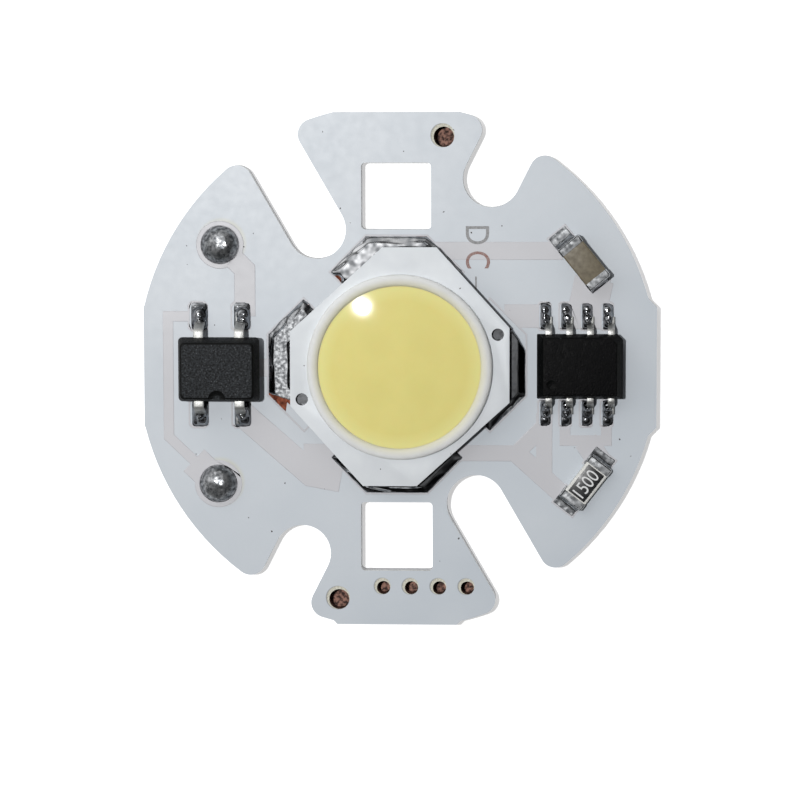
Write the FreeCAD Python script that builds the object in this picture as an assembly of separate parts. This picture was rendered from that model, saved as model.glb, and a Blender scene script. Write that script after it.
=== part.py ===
import FreeCAD, Part
import math
import os

# Mains LED board, 32 mm across: a round white-masked aluminium circuit board that
# carries a round chip-on-board light source, a bridge rectifier, a linear driver,
# one chip capacitor and one chip resistor, all soldered to one copper foil.
# Origin: centre of the board's circle, on its bare underside. +Z leaves the lit face.
# All lengths are millimetres, all angles degrees.

V = FreeCAD.Vector
up = V(0, 0, 1)

# Board layers, from the underside up
base_thickness = 1.0
dielectric_thickness = 0.1
copper_thickness = 0.035
mask_thickness = 0.06  # over the dielectric, so it is thinner over the copper

# Board outline, punched round and snapped off at four score lines
board_radius = 16.0
score_inset_east = 0.05  # how far inside the circle each score line runs
score_inset_north = 0.38
score_inset_west = 0.4
score_inset_south = 0.0
rim_swell_north = 0.09  # the rim bulges a little either side of these two tabs
rim_swell_south = 0.24
tab_half_width = 3.7
tab_flank = 1.0
slot_width = 3.6
slot_end = 9.77
slot_angle = 120.0
notch_width = 3.5
notch_end = 12.95
notch_angle = 63.2
mouth_round = 0.95
window_upper_width = 4.28
window_upper_height = 4.08
window_lower_width = 4.42
window_lower_height = 4.26
window_offset = 10.5
window_round = 0.25

# Drilled holes, and how much wider the mask is left open around them
pilot_diameter = 1.25
pilot_upper_x = 2.93
pilot_upper_y = 14.1
pilot_lower_x = -3.58
pilot_lower_y = -14.44
wire_hole_diameter = 0.82
wire_hole_count = 4
wire_hole_pitch = 1.73
wire_row_x = 1.76
wire_row_y = -13.7
hole_relief = 0.1
artwork_shift_x = -0.07  # the printed layers sit this far off the drilled holes
artwork_shift_y = 0.1

# Copper foil
mask_overlap = 0.12  # the mask laps over the edge of each solder pad
pad_corner = 0.22  # share of a lead pad's width cut off each corner
line_track = 1.3
line_offset = 0.27  # this run's middle lies this far right of the lead's pad
neutral_track = 0.65
neutral_offset = 1.86  # and this one's this far left
neutral_tail = 1.9
neutral_bend = 2.9  # height of its lower bend over the lower mains pad
supply_track = 1.1
west_track = 1.6
west_shelf = 1.4
shelf_length = 2.3
shelf_drop = 0.42
north_track = 1.1
east_track = 1.0
east_length = 3.9
east_drop = 0.27
resistor_track = 1.2
led_track = 1.45
drain_bar = 1.6
drain_neck = 2.4
sense_track = 0.66
sense_drop = 0.9  # how far past the pads' ends this net crosses
sense_neck = 1.5
heat_pad_radius = 5.0
spine_width = 4.6

# How far each part was placed off the middle of its pads
plate_shift_x = 0.23
plate_shift_y = -0.04
bridge_shift_x = 0.08
bridge_shift_y = -0.18
driver_shift_x = 0.27
driver_shift_y = -0.03
capacitor_shift_x = 0.33
capacitor_shift_y = -0.13
resistor_shift_x = 0.12
resistor_shift_y = -0.06

# Ring of four angled pads that holds the light source
ring_x = 0.02
ring_y = 0.13
ring_half = 7.9
ring_diagonal = ring_half - 1.0
ring_width = 1.6
ring_gap = 2.4

# Light source: octagonal plate, dam, phosphor, dies and wires
plate_long = 2 * ring_diagonal - 0.6
plate_short = 2 * ring_diagonal - 1.55
plate_turn = 42.2
plate_cut_x = ring_half - 1.18
plate_cut_y = ring_half - 0.57
plate_thickness = 0.95
plate_mask_thickness = 0.05
plate_mask_opening = 10.1  # width of the bare middle under the phosphor
bond_thickness = 0.05
bond_setback = 1.9
via_diameter = 0.75
via_radius = plate_cut_x - 0.39
via_angle = 18.4
via_fill_depth = 0.35
plate_track_width = 0.95
plate_track_end = 4.15
dam_outer_radius = 5.68
dam_width = 0.73
dam_inner_radius = dam_outer_radius - dam_width
dam_height = 0.5
dam_chords = 7
phosphor_height = 0.62
phosphor_flat_radius = dam_inner_radius - 0.75
phosphor_edge_drop = 0.3
phosphor_chords = 4
die_side = 0.9
die_thickness = 0.15
die_pitch = 2.95
wire_diameter = 0.04
wire_facets = 6
wire_loop = 0.2
wire_shoulder = 0.15  # share of a wire's span over which it rises
plate_solder_rise = 0.42
plate_solder_run = 0.5

# Bridge rectifier with four gull-wing leads
bridge_x = -10.91
bridge_y = 0.12
bridge_length = 5.0
bridge_width = 3.95
bridge_height = 2.45
bridge_parting = 1.1
bridge_draft = 0.26
bridge_notch_radius = 0.53
bridge_notch_depth = 0.18
bridge_pitch = 2.5
bridge_pad_pitch = 2.64
bridge_span = 6.9
bridge_lead_width = 0.6
bridge_lead_thickness = 0.22
bridge_shoulder = 0.42
bridge_foot = 0.62
bridge_pad_width = 1.02
bridge_pad_inner = 2.15
bridge_pad_outer = 3.83
bridge_solder_rise = 0.16

# Driver, an eight-lead small outline package
driver_x = 10.99
driver_y = 0.17
driver_length = 5.25
driver_width = 3.97
driver_height = 1.45
driver_parting = 0.72
driver_end_draft = 0.38
driver_side_draft = 0.23
driver_corner_cut = 0.35
driver_dot_diameter = 0.6
driver_dot_depth = 0.08
driver_dot_inset = 0.9
driver_pitch = 1.27
driver_leads_per_side = 4
driver_span = 6.0
driver_lead_width = 0.42
driver_lead_thickness = 0.2
driver_shoulder = 0.24
driver_foot = 0.5
driver_pad_width = 0.62
driver_pad_inner = 2.2
driver_pad_outer = 3.77
driver_solder_rise = 0.14

standoff = 0.1  # gap between a package body and the mask
lead_embed = 0.35
bend_radius = 0.12
bend_chords = 3
foot_film = 0.04  # solder left under a lead's foot or a chip's end

# Chip capacitor and chip resistor
capacitor_x = 11.17
capacitor_y = 6.6
capacitor_turn = -51.0
capacitor_height = 1.25
resistor_x = 11.55
resistor_y = -7.02
resistor_turn = 52.5
resistor_height = 0.55
chip_length = 3.2
chip_width = 1.6
chip_band = 0.5
chip_plating = 0.03
chip_round = 0.09
capacitor_pad_span = 4.27
capacitor_pad_width = 1.26
capacitor_pad_length = 1.25
resistor_pad_span = 4.3
resistor_pad_width = 1.43
resistor_pad_length = 1.25
fillet_climb = 0.6  # share of a chip's height that its end fillets climb
coat_length = chip_length - 1.15
coat_width = chip_width - 0.4
coat_thickness = 0.03

# Solder domes where the two mains wires go
dome_upper_x = -10.84
dome_upper_y = 7.51
dome_lower_x = -11.04
dome_lower_y = -7.26
dome_diameter = 2.35
dome_height = 0.85
dome_chords = 4
dome_pad_diameter = 2.95

# Levels that follow from the layers
z_dielectric = base_thickness
z_foil = z_dielectric + dielectric_thickness
z_pad = z_foil + copper_thickness
z_mask = z_foil + mask_thickness
z_plate = z_mask + bond_thickness
z_plate_top = z_plate + plate_thickness
z_plate_mask = z_plate_top + plate_mask_thickness
z_body = z_mask + standoff

# Middles of the placed parts
plate_x = ring_x + plate_shift_x
plate_y = ring_y + plate_shift_y
bridge_place = V(bridge_x + bridge_shift_x, bridge_y + bridge_shift_y, 0)
driver_place = V(driver_x + driver_shift_x, driver_y + driver_shift_y, 0)

parts = {}


def prism(points, z, height):
    ring = [V(p[0], p[1], z) for p in points]
    ring.append(ring[0])
    return Part.Face(Part.makePolygon(ring)).extrude(up * height)


def block(x, y, z, length, width, height):
    # A box with its middle at x, y and its underside at z
    return Part.makeBox(length, width, height, V(x - length / 2, y - width / 2, z))


def disc(x, y, z, diameter, height):
    return Part.makeCylinder(diameter / 2, height, V(x, y, z))


def turned(shape, angle, x=0.0, y=0.0):
    copy = shape.copy()
    copy.rotate(V(0, 0, 0), up, angle)
    copy.translate(V(x, y, 0))
    return copy


def joined(shapes):
    result = shapes[0]
    if len(shapes) > 1:
        result = shapes[0].fuse(shapes[1:])
    return result.removeSplitter()


def upright_edges(shape):
    found = []
    for edge in shape.Edges:
        box = edge.BoundBox
        if box.ZLength > 1e-4 and box.XLength < 1e-6 and box.YLength < 1e-6:
            found.append(edge)
    return found


def direction(angle):
    return V(math.cos(math.radians(angle)), math.sin(math.radians(angle)), 0)


# Board outline: disc, snap-off tabs, screw slots, notches and windows


def radial_cutter(angle, end, width, height):
    # A slot with a round inner end, open at the rim
    reach = 2 * board_radius
    cutter = disc(end, 0, -1, width, height + 2)
    cutter = cutter.fuse(Part.makeBox(reach, width, height + 2, V(end, -width / 2, -1)))
    return turned(cutter, angle)


def rounded_mouths(shape, openings):
    # Rounds the corners where each slot's walls meet the rim
    corners = []
    for edge in upright_edges(shape):
        spot = edge.CenterOfMass
        for angle, width in openings:
            out = direction(angle)
            along = spot.x * out.x + spot.y * out.y
            across = spot.y * out.x - spot.x * out.y
            at_rim = math.hypot(spot.x, spot.y) > board_radius - 1e-3
            if along > 0 and at_rim and abs(abs(across) - width / 2) < 1e-3:
                corners.append(edge)
    return shape.makeFillet(mouth_round, corners)


def tab(reach, height):
    # One snapped-off edge towards +X, straight, with a short slope at either end
    root = reach - tab_flank
    spread = tab_half_width + tab_flank
    return prism([(0, -spread), (root, -spread), (reach, -tab_half_width),
                  (reach, tab_half_width), (root, spread), (0, spread)], 0, height)


def swollen_disc(height):
    # Round blank whose rim bulges beside the north and south tabs, out to the slots
    blank = Part.makeCylinder(board_radius, height)
    start = 0.9 * board_radius
    for side, swell in [(1, rim_swell_north), (-1, rim_swell_south)]:
        wider = Part.makeCylinder(board_radius + swell, height)
        band = block(0, side * (start + board_radius / 2), 0, board_radius, board_radius, height)
        blank = blank.fuse(wider.common(band))
    return blank.removeSplitter()


def outline(height):
    board = swollen_disc(height)
    cutters = []
    openings = []
    for angle, end, width in [(slot_angle, slot_end, slot_width),
                              (notch_angle, notch_end, notch_width)]:
        for half_turn in (0, 180):
            cutter = radial_cutter(angle + half_turn, end, width, height)
            board = board.cut(cutter)
            cutters.append(cutter)
            openings.append((angle + half_turn, width))
    board = rounded_mouths(board, openings)
    insets = [score_inset_east, score_inset_north, score_inset_west, score_inset_south]
    for index, inset in enumerate(insets):
        reach = board_radius - inset
        edge = turned(tab(reach, height), 90 * index)
        for cutter in cutters:
            edge = edge.cut(cutter)
        beyond = Part.makeBox(board_radius, 4 * board_radius, height + 2,
                              V(reach, -2 * board_radius, -1))
        board = board.fuse(edge).cut(turned(beyond, 90 * index))
    board = board.removeSplitter()
    for y, width, length in [(window_offset, window_upper_width, window_upper_height),
                             (-window_offset, window_lower_width, window_lower_height)]:
        window = block(0, y, -1, width, length, height + 2)
        board = board.cut(window.makeFillet(window_round, upright_edges(window)))
    return board


def hole_places():
    places = [(pilot_upper_x, pilot_upper_y, pilot_diameter),
              (pilot_lower_x, pilot_lower_y, pilot_diameter)]
    for index in range(wire_hole_count):
        step = (index - (wire_hole_count - 1) / 2) * wire_hole_pitch
        places.append((wire_row_x + step, wire_row_y, wire_hole_diameter))
    return places


def drilled(shape):
    for x, y, diameter in hole_places():
        shape = shape.cut(disc(x, y, -1, diameter, z_plate + 2))
    return shape


def board_layer(z, height):
    layer = drilled(outline(height))
    layer.translate(V(0, 0, z))
    return layer


# Solder pads. Each one is drawn once, and grown by the mask's overlap for its copper.


def ring_pad_points(inset):
    # North pad of the ring, an angled strip that wraps one corner of the plate
    half = ring_half - inset
    diagonal = ring_diagonal - inset
    inner_half = ring_half - ring_width + inset
    inner_diagonal = ring_diagonal - ring_width + inset
    gap = ring_gap / 2 + inset
    root = math.sqrt(2)
    right = [(diagonal * root - half, half),
             ((diagonal - gap) / root, (diagonal + gap) / root),
             ((inner_diagonal - gap) / root, (inner_diagonal + gap) / root),
             (inner_diagonal * root - inner_half, inner_half)]
    left = [(-x, y) for x, y in reversed(right)]
    return right + left


def ring_pad(index, z, height, inset=0.0):
    # Pads 0 to 3 lie north, west, south and east
    return turned(prism(ring_pad_points(inset), z, height), 90 * index, ring_x, ring_y)


def ring_arm_end(index, hand):
    # Middle of the end of a ring pad's arm, the right one as seen on the north pad
    middle = ring_diagonal - ring_width / 2
    spot = V(hand * (middle - ring_gap / 2), middle + ring_gap / 2, 0) * math.sqrt(0.5)
    return turned(Part.Vertex(spot), 90 * index, ring_x, ring_y).Point


def cut_corner_points(x, y, width, length, corner):
    # Rectangle with its four corners cut off
    half_w = width / 2
    half_l = length / 2
    points = []
    for sx, sy in [(1, 1), (-1, 1), (-1, -1), (1, -1)]:
        along_side = (x + sx * half_w, y + sy * (half_l - corner))
        along_end = (x + sx * (half_w - corner), y + sy * half_l)
        points += [along_side, along_end] if sx * sy > 0 else [along_end, along_side]
    return points


def lead_pad(x, y, side, width, inner, outer, z, height, grow=0.0):
    middle = y + side * (inner + outer) / 2
    return prism(cut_corner_points(x, middle, width + 2 * grow, outer - inner + 2 * grow,
                                   width * pad_corner), z, height)


def bridge_pad(column, side, z, height, grow=0.0):
    x = bridge_x + (column - 0.5) * bridge_pad_pitch
    return lead_pad(x, bridge_y, side, bridge_pad_width, bridge_pad_inner,
                    bridge_pad_outer, z, height, grow)


def driver_column_x(column):
    return driver_x + (column - (driver_leads_per_side - 1) / 2) * driver_pitch


def driver_pad(column, side, z, height, grow=0.0):
    return lead_pad(driver_column_x(column), driver_y, side, driver_pad_width,
                    driver_pad_inner, driver_pad_outer, z, height, grow)


def chip_pad_local(side, span, width, length, z, height, grow=0.0):
    middle = side * (span - length) / 2
    return block(middle, 0, z, length + 2 * grow, width + 2 * grow, height)


def capacitor_pad(side, z, height, grow=0.0):
    pad = chip_pad_local(side, capacitor_pad_span, capacitor_pad_width,
                         capacitor_pad_length, z, height, grow)
    return turned(pad, capacitor_turn, capacitor_x, capacitor_y)


def resistor_pad(side, z, height, grow=0.0):
    pad = chip_pad_local(side, resistor_pad_span, resistor_pad_width,
                         resistor_pad_length, z, height, grow)
    return turned(pad, resistor_turn, resistor_x, resistor_y)


# Copper foil: every net is a few straight runs fused with the pads it serves


def strip(points, width):
    # Run of even width along a bent line
    corners = ribbon([V(p[0], p[1], z_foil) for p in points], width, up)
    return Part.Face(Part.makePolygon(corners + [corners[0]])).extrude(up * copper_thickness)


def copper_ring_pad(index):
    return ring_pad(index, z_foil, copper_thickness, -mask_overlap)


def copper_bridge_pad(column, side):
    return bridge_pad(column, side, z_foil, copper_thickness, mask_overlap)


def copper_driver_pad(column, side):
    return driver_pad(column, side, z_foil, copper_thickness, mask_overlap)


def copper_chip_pad(pad, side):
    return pad(side, z_foil, copper_thickness, mask_overlap)


def copper_dome_pad(x, y):
    return disc(x, y, z_foil, dome_pad_diameter, copper_thickness)


def bridge_pad_centre(column, side):
    x = bridge_x + (column - 0.5) * bridge_pad_pitch
    return V(x, bridge_y + side * (bridge_pad_inner + bridge_pad_outer) / 2, 0)


def driver_pad_centre(column, side):
    reach = side * (driver_pad_inner + driver_pad_outer) / 2
    return V(driver_column_x(column), driver_y + reach, 0)


def line_net():
    # Upper mains pad, slanting to the rectifier's upper right lead
    lead = bridge_pad_centre(1, 1)
    trunk = lead.x + line_offset
    bend = dome_upper_y - (trunk - dome_upper_x)
    run = strip([(dome_upper_x, dome_upper_y), (trunk, bend), (trunk, lead.y)], line_track)
    return joined([run, copper_dome_pad(dome_upper_x, dome_upper_y), copper_bridge_pad(1, 1)])


def neutral_net():
    # Rectifier's upper left lead, down the board's left side to the lower mains pad
    lead = bridge_pad_centre(0, 1)
    trunk = lead.x - neutral_offset
    bend = dome_lower_y + neutral_bend
    run = strip([(lead.x, lead.y), (trunk, lead.y), (trunk, bend),
                 (dome_lower_x, dome_lower_y)], neutral_track)
    tail = strip([((trunk + dome_lower_x) / 2, (bend + dome_lower_y) / 2),
                  (dome_lower_x, dome_lower_y)], neutral_tail)
    return joined([run, tail, copper_dome_pad(dome_lower_x, dome_lower_y),
                   copper_bridge_pad(0, 1)])


def supply_net():
    # Rectifier's lower left lead, under its body, to the ring's west pad
    lead = bridge_pad_centre(0, -1)
    west = ring_x - ring_half + ring_width / 2
    run = strip([(lead.x, lead.y), (lead.x, bridge_place.y), (west, bridge_place.y)],
                supply_track)
    return joined([run, copper_ring_pad(1), copper_bridge_pad(0, -1)])


def return_west():
    # Rectifier's lower right lead to the south pad, with a shelf to that pad's arm
    lead = bridge_pad_centre(1, -1)
    arm = ring_arm_end(2, 1)
    south = ring_y - ring_half + ring_width / 2
    bend = arm.x - shelf_length * 0.8
    run = strip([(lead.x, lead.y), (bend, arm.y - west_track), (arm.x, south)], west_track)
    shelf = strip([(arm.x - shelf_length, arm.y - shelf_drop),
                   (arm.x, arm.y - shelf_drop)], west_shelf)
    return [run, shelf]


def return_east():
    # South pad's right arm to the driver's first lower lead and on to the resistor
    arm = ring_arm_end(2, -1)
    level = arm.y - east_drop
    bend = arm.x + east_length
    pin = driver_pad_centre(0, -1)
    end = resistor_pad_centre(-1)
    drop = end.y + resistor_track
    return [strip([(arm.x, level), (bend, level), (pin.x, level + pin.x - bend)], east_track),
            strip([(pin.x, pin.y), (pin.x, drop)], east_track),
            strip([(bend, level), (end.x, end.y)], resistor_track)]


def return_net():
    # Both lower and upper ring pads, the heat pad between them and three runs
    end = capacitor_pad_centre(-1)
    north = ring_y + ring_half - north_track * 0.8
    heat_pad = disc(ring_x, ring_y, z_foil, 2 * heat_pad_radius, copper_thickness)
    spine = block(ring_x, ring_y, z_foil, spine_width, 2 * ring_half - ring_width,
                  copper_thickness)
    link = strip([(ring_x, north), (end.x, north)], north_track)
    pads = [copper_ring_pad(0), copper_ring_pad(2), copper_bridge_pad(1, -1),
            copper_driver_pad(0, -1), copper_chip_pad(capacitor_pad, -1),
            copper_chip_pad(resistor_pad, -1)]
    return joined([heat_pad, spine, link] + return_west() + return_east() + pads)


def led_return_net():
    # The ring's east pad to the driver's first upper lead
    arm = ring_arm_end(3, -1)
    pin = driver_pad_centre(0, 1)
    run = strip([(arm.x + led_track, pin.y), (pin.x, pin.y)], led_track)
    return joined([run, copper_ring_pad(3), copper_driver_pad(0, 1)])


def drain_net():
    # Driver's other three upper leads to the capacitor's lower end
    first = driver_pad_centre(1, 1)
    last = driver_pad_centre(driver_leads_per_side - 1, 1)
    middle = (first + last) * 0.5
    end = capacitor_pad_centre(1)
    side = driver_pad_width / 2 + mask_overlap
    bar = strip([(first.x - side, first.y), (last.x + side, last.y)], drain_bar)
    neck = strip([(middle.x, middle.y), (end.x, end.y)], drain_neck)
    pads = [copper_driver_pad(column, 1) for column in (1, 2, 3)]
    return joined([bar, neck, copper_chip_pad(capacitor_pad, 1)] + pads)


def sense_net():
    # Driver's second and fourth lower leads, round the third, to the resistor
    west = driver_pad_centre(1, -1)
    east = driver_pad_centre(driver_leads_per_side - 1, -1)
    level = driver_y - driver_pad_outer - sense_drop
    end = resistor_pad_centre(1)
    run = strip([(west.x, west.y), (west.x, level), (east.x, level), (east.x, east.y)],
                sense_track)
    neck = strip([((west.x + east.x) / 2, level), (end.x, end.y)], sense_neck)
    pads = [copper_driver_pad(column, -1) for column in (1, 3)]
    return joined([run, neck, copper_chip_pad(resistor_pad, 1)] + pads)


def capacitor_pad_centre(side):
    reach = side * (capacitor_pad_span - capacitor_pad_length) / 2
    return V(capacitor_x, capacitor_y, 0) + direction(capacitor_turn) * reach


def resistor_pad_centre(side):
    reach = side * (resistor_pad_span - resistor_pad_length) / 2
    return V(resistor_x, resistor_y, 0) + direction(resistor_turn) * reach


def foil():
    return {
        "copper_line": line_net(),
        "copper_neutral": neutral_net(),
        "copper_supply": supply_net(),
        "copper_return": return_net(),
        "copper_led_return": led_return_net(),
        "copper_drain": drain_net(),
        "copper_sense": sense_net(),
        "copper_spare_pad": copper_driver_pad(2, -1),
    }


def solder_mask(nets):
    # White mask with a flat top, open at every pad and around every hole
    mask = board_layer(z_foil, mask_thickness)
    low = z_foil - 1
    tall = mask_thickness + 2
    openings = [ring_pad(index, low, tall) for index in range(4)]
    for side in (1, -1):
        openings += [bridge_pad(column, side, low, tall) for column in (0, 1)]
        for column in range(driver_leads_per_side):
            openings.append(driver_pad(column, side, low, tall))
        openings.append(capacitor_pad(side, low, tall))
        openings.append(resistor_pad(side, low, tall))
    for x, y in [(dome_upper_x, dome_upper_y), (dome_lower_x, dome_lower_y)]:
        openings.append(disc(x, y, low, dome_diameter, tall))
    for x, y, diameter in hole_places():
        openings.append(disc(x + artwork_shift_x, y + artwork_shift_y, low,
                             diameter + 2 * hole_relief, tall))
    for cutter in openings + list(nets.values()):
        mask = mask.cut(cutter)
    return mask


# Light source


def plate_outline(z, height, wider=0.0):
    slab = block(0, 0, z, plate_long + wider, plate_short + wider, height)
    slab = turned(slab, plate_turn)
    limit = block(0, 0, z, 2 * plate_cut_x + wider, 2 * plate_cut_y + wider, height)
    octagon = slab.common(limit)
    octagon.translate(V(plate_x, plate_y, 0))
    return octagon


def via_places():
    places = []
    for half_turn in (0, 180):
        spot = direction(via_angle + half_turn) * via_radius
        places.append(V(plate_x + spot.x, plate_y + spot.y, 0))
    return places


def plate_holes(shape):
    for spot in via_places():
        shape = shape.cut(disc(spot.x, spot.y, z_plate - 1, via_diameter, plate_thickness + 3))
    return shape


def plate_track(half_turn):
    # Printed conductor from a plated hole in under the dam
    reach = via_radius + plate_track_width / 2 - plate_track_end
    bar = Part.makeBox(reach, plate_track_width, copper_thickness,
                       V(plate_track_end, -plate_track_width / 2, z_plate_top))
    bar = bar.makeChamfer(plate_track_width * 0.3, upright_edges(bar))
    return plate_holes(turned(bar, via_angle + half_turn, plate_x, plate_y))


def via_fill(spot):
    return disc(spot.x, spot.y, z_plate, via_diameter, plate_thickness - via_fill_depth)


def die_places():
    half = die_pitch / 2
    return [V(plate_x + x * half, plate_y + y * half, 0)
            for x, y in [(-1, -1), (-1, 1), (1, -1), (1, 1)]]


def dies():
    return [block(spot.x, spot.y, z_plate_top, die_side, die_side, die_thickness)
            for spot in die_places()]


def bond_wire(start, end):
    # Fine wire in straight runs: up, across and down to the next spot
    rise = up * wire_loop
    near = start + (end - start) * wire_shoulder + rise
    far = end - (end - start) * wire_shoulder * 2 + rise
    path = Part.makePolygon([start, near, far, end])
    along = V(near - start).normalize()
    across = V(up.cross(along)).normalize()
    above = along.cross(across)
    ring = []
    for corner in range(wire_facets + 1):
        turn = math.radians(360 * corner / wire_facets)
        ring.append(start + (across * math.cos(turn) + above * math.sin(turn))
                    * (wire_diameter / 2))
    return path.makePipeShell([Part.makePolygon(ring)], True, False, 1)


def bond_wires(solids_below):
    # Track, four dies in series, track
    sink = up * (wire_diameter * 0.5)
    pad_level = up * (z_plate_top + die_thickness) - sink
    track_level = up * (z_plate_top + copper_thickness) - sink
    inset = plate_track_end + plate_track_width * 0.35
    near = direction(via_angle + 180) * inset + V(plate_x, plate_y, 0) + track_level
    far = direction(via_angle) * inset + V(plate_x, plate_y, 0) + track_level
    spots = die_places()
    offset = V(0, die_side * 0.25, 0)
    side = V(die_side * 0.25, 0, 0)
    hops = [(near, spots[0] + pad_level - side),
            (spots[0] + pad_level + offset, spots[1] + pad_level - offset),
            (spots[1] + pad_level + side, spots[3] + pad_level - side),
            (spots[3] + pad_level - offset, spots[2] + pad_level + offset),
            (spots[2] + pad_level + side, far)]
    wires = []
    for start, end in hops:
        wire = bond_wire(start, end)
        for solid in solids_below:
            wire = wire.cut(solid)
        wires.append(wire)
    return wires


def turned_ring(profile, x, y):
    # Turns a closed list of radius, height pairs once around an upright axis
    corners = [V(r, 0, z) for r, z in profile]
    ring = Part.Face(Part.makePolygon(corners + [corners[0]])).revolve(V(0, 0, 0), up, 360)
    ring.translate(V(x, y, 0))
    return ring


def dam_ring():
    # Silicone bead laid as a ring, half of an ellipse on a flat foot
    crest = (dam_inner_radius + dam_outer_radius) / 2
    half = (dam_outer_radius - dam_inner_radius) / 2
    profile = []
    for step in range(dam_chords + 1):
        angle = math.radians(180 * step / dam_chords)
        profile.append((crest + half * math.cos(angle),
                        z_plate_mask + dam_height * math.sin(angle)))
    return turned_ring(profile, plate_x, plate_y)


def phosphor_fill(inside):
    # Poured flat inside the dam, its surface curling down to meet the bead
    top = z_plate_mask + phosphor_height
    run = (dam_inner_radius + dam_outer_radius) / 2 - phosphor_flat_radius
    profile = [(0, z_plate_top), (0, top)]
    for step in range(phosphor_chords + 1):
        share = step / phosphor_chords
        profile.append((phosphor_flat_radius + run * share,
                        top - phosphor_edge_drop * share * share))
    profile.append((phosphor_flat_radius + run, z_plate_top))
    fill = turned_ring(profile, plate_x, plate_y)
    for solid in inside:
        fill = fill.cut(solid)
    return largest(fill)


def largest(shape):
    return max(shape.Solids, key=lambda solid: solid.Volume)


def plate_solder(index):
    # Solder that wets the pad, runs under the plate and climbs its edge
    low = ring_pad(index, z_pad, z_mask - z_pad)
    rings = []
    for inset, z in [(0.0, z_mask), (plate_solder_run, z_mask + plate_solder_rise)]:
        points = [V(x, y, z) for x, y in ring_pad_points(inset)]
        rings.append(Part.makePolygon(points + [points[0]]))
    bank = turned(Part.makeLoft(rings, True, True), 90 * index, ring_x, ring_y)
    return joined([low, bank]).cut(plate_outline(z_plate, plate_thickness + 1))


def light_source():
    holes_open = plate_outline(z_plate, plate_thickness)
    parts["plate"] = plate_holes(holes_open)
    tracks = [plate_track(0), plate_track(180)]
    parts["plate_track_plus"] = tracks[1]
    parts["plate_track_minus"] = tracks[0]
    fills = [via_fill(spot) for spot in via_places()]
    parts["via_fill_minus"] = fills[0]
    parts["via_fill_plus"] = fills[1]
    mask = plate_holes(plate_outline(z_plate_top, plate_mask_thickness))
    mask = mask.cut(disc(plate_x, plate_y, z_plate_top - 1, plate_mask_opening, 3))
    for track in tracks:
        mask = mask.cut(track)
    parts["plate_mask"] = mask
    dam = dam_ring()
    parts["dam_ring"] = dam
    chips = dies()
    parts["led_dies"] = Part.makeCompound(chips)
    wires = bond_wires([parts["plate"]] + tracks + chips)
    parts["bond_wires"] = Part.makeCompound(wires)
    inside = [dam, mask] + tracks + chips + wires
    parts["phosphor"] = phosphor_fill(inside)
    parts["thermal_bond"] = plate_outline(z_mask, bond_thickness, -2 * bond_setback)
    for index, name in enumerate(["north", "west", "south", "east"]):
        parts["plate_solder_" + name] = plate_solder(index)


# Packages with gull-wing leads


def ribbon(points, thickness, across_from):
    # Closed outline of a strip of even thickness around a bent centre line, in the
    # plane that across_from stands square to
    sides = []
    for sign in (1, -1):
        side = []
        for index, point in enumerate(points):
            before = points[max(index - 1, 0)]
            after = points[min(index + 1, len(points) - 1)]
            first = (point - before) if index else (after - point)
            last = (after - point) if index < len(points) - 1 else first
            first = V(first).normalize()
            last = V(last).normalize()
            mean = (first + last).normalize()
            normal = across_from.cross(mean)
            stretch = thickness / 2 / mean.dot(first)
            side.append(point + normal * (sign * stretch))
        sides.append(side)
    return sides[0] + list(reversed(sides[1]))


def rounded_line(points, radius):
    # Breaks each bend of a line in the YZ plane into short chords on an arc
    line = [points[0]]
    for before, corner, after in zip(points, points[1:], points[2:]):
        inward = V(before - corner).normalize()
        outward = V(after - corner).normalize()
        opening = inward.getAngle(outward)
        reach = radius / math.tan(opening / 2)
        centre = corner + V(inward + outward).normalize() * (radius / math.sin(opening / 2))
        start = corner + inward * reach - centre
        stop = corner + outward * reach - centre
        sweep = math.pi - opening
        for step in range(bend_chords + 1):
            share = step / bend_chords
            blend = start * math.sin((1 - share) * sweep) + stop * math.sin(share * sweep)
            line.append(centre + blend * (1 / math.sin(sweep)))
    return line + [points[-1]]


def gull_lead(width, thickness, exit_y, exit_z, shoulder, toe_y, foot, foot_z):
    # Lead pointing to +Y: out of the body, down, and flat on its pad
    knee = exit_y + shoulder
    heel = toe_y - foot
    level = foot_z + thickness / 2
    line = [V(0, exit_y - lead_embed, exit_z), V(0, knee, exit_z),
            V(0, heel, level), V(0, toe_y, level)]
    corners = ribbon(rounded_line(line, bend_radius + thickness / 2), thickness,
                     V(1, 0, 0))
    face = Part.Face(Part.makePolygon(corners + [corners[0]]))
    lead = face.extrude(V(width, 0, 0))
    lead.translate(V(-width / 2, 0, 0))
    return lead


def placed_lead(lead, x, y, side):
    return turned(lead, 0 if side > 0 else 180, x, y)


def drafted_body(x, y, length, width, height, parting, end_draft, side_draft):
    # Moulded body, widest at the parting line where the leads come out
    def ring(share, z):
        half_l = length / 2 - end_draft * share
        half_w = width / 2 - side_draft * share
        points = [V(x + sx * half_l, y + sy * half_w, z)
                  for sx, sy in [(-1, -1), (1, -1), (1, 1), (-1, 1)]]
        return Part.makePolygon(points + [points[0]])
    below = parting / (height - parting)
    lower = Part.makeLoft([ring(below, z_body), ring(0, z_body + parting)], True, True)
    upper = Part.makeLoft([ring(0, z_body + parting), ring(1, z_body + height)], True, True)
    return joined([lower, upper])


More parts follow.
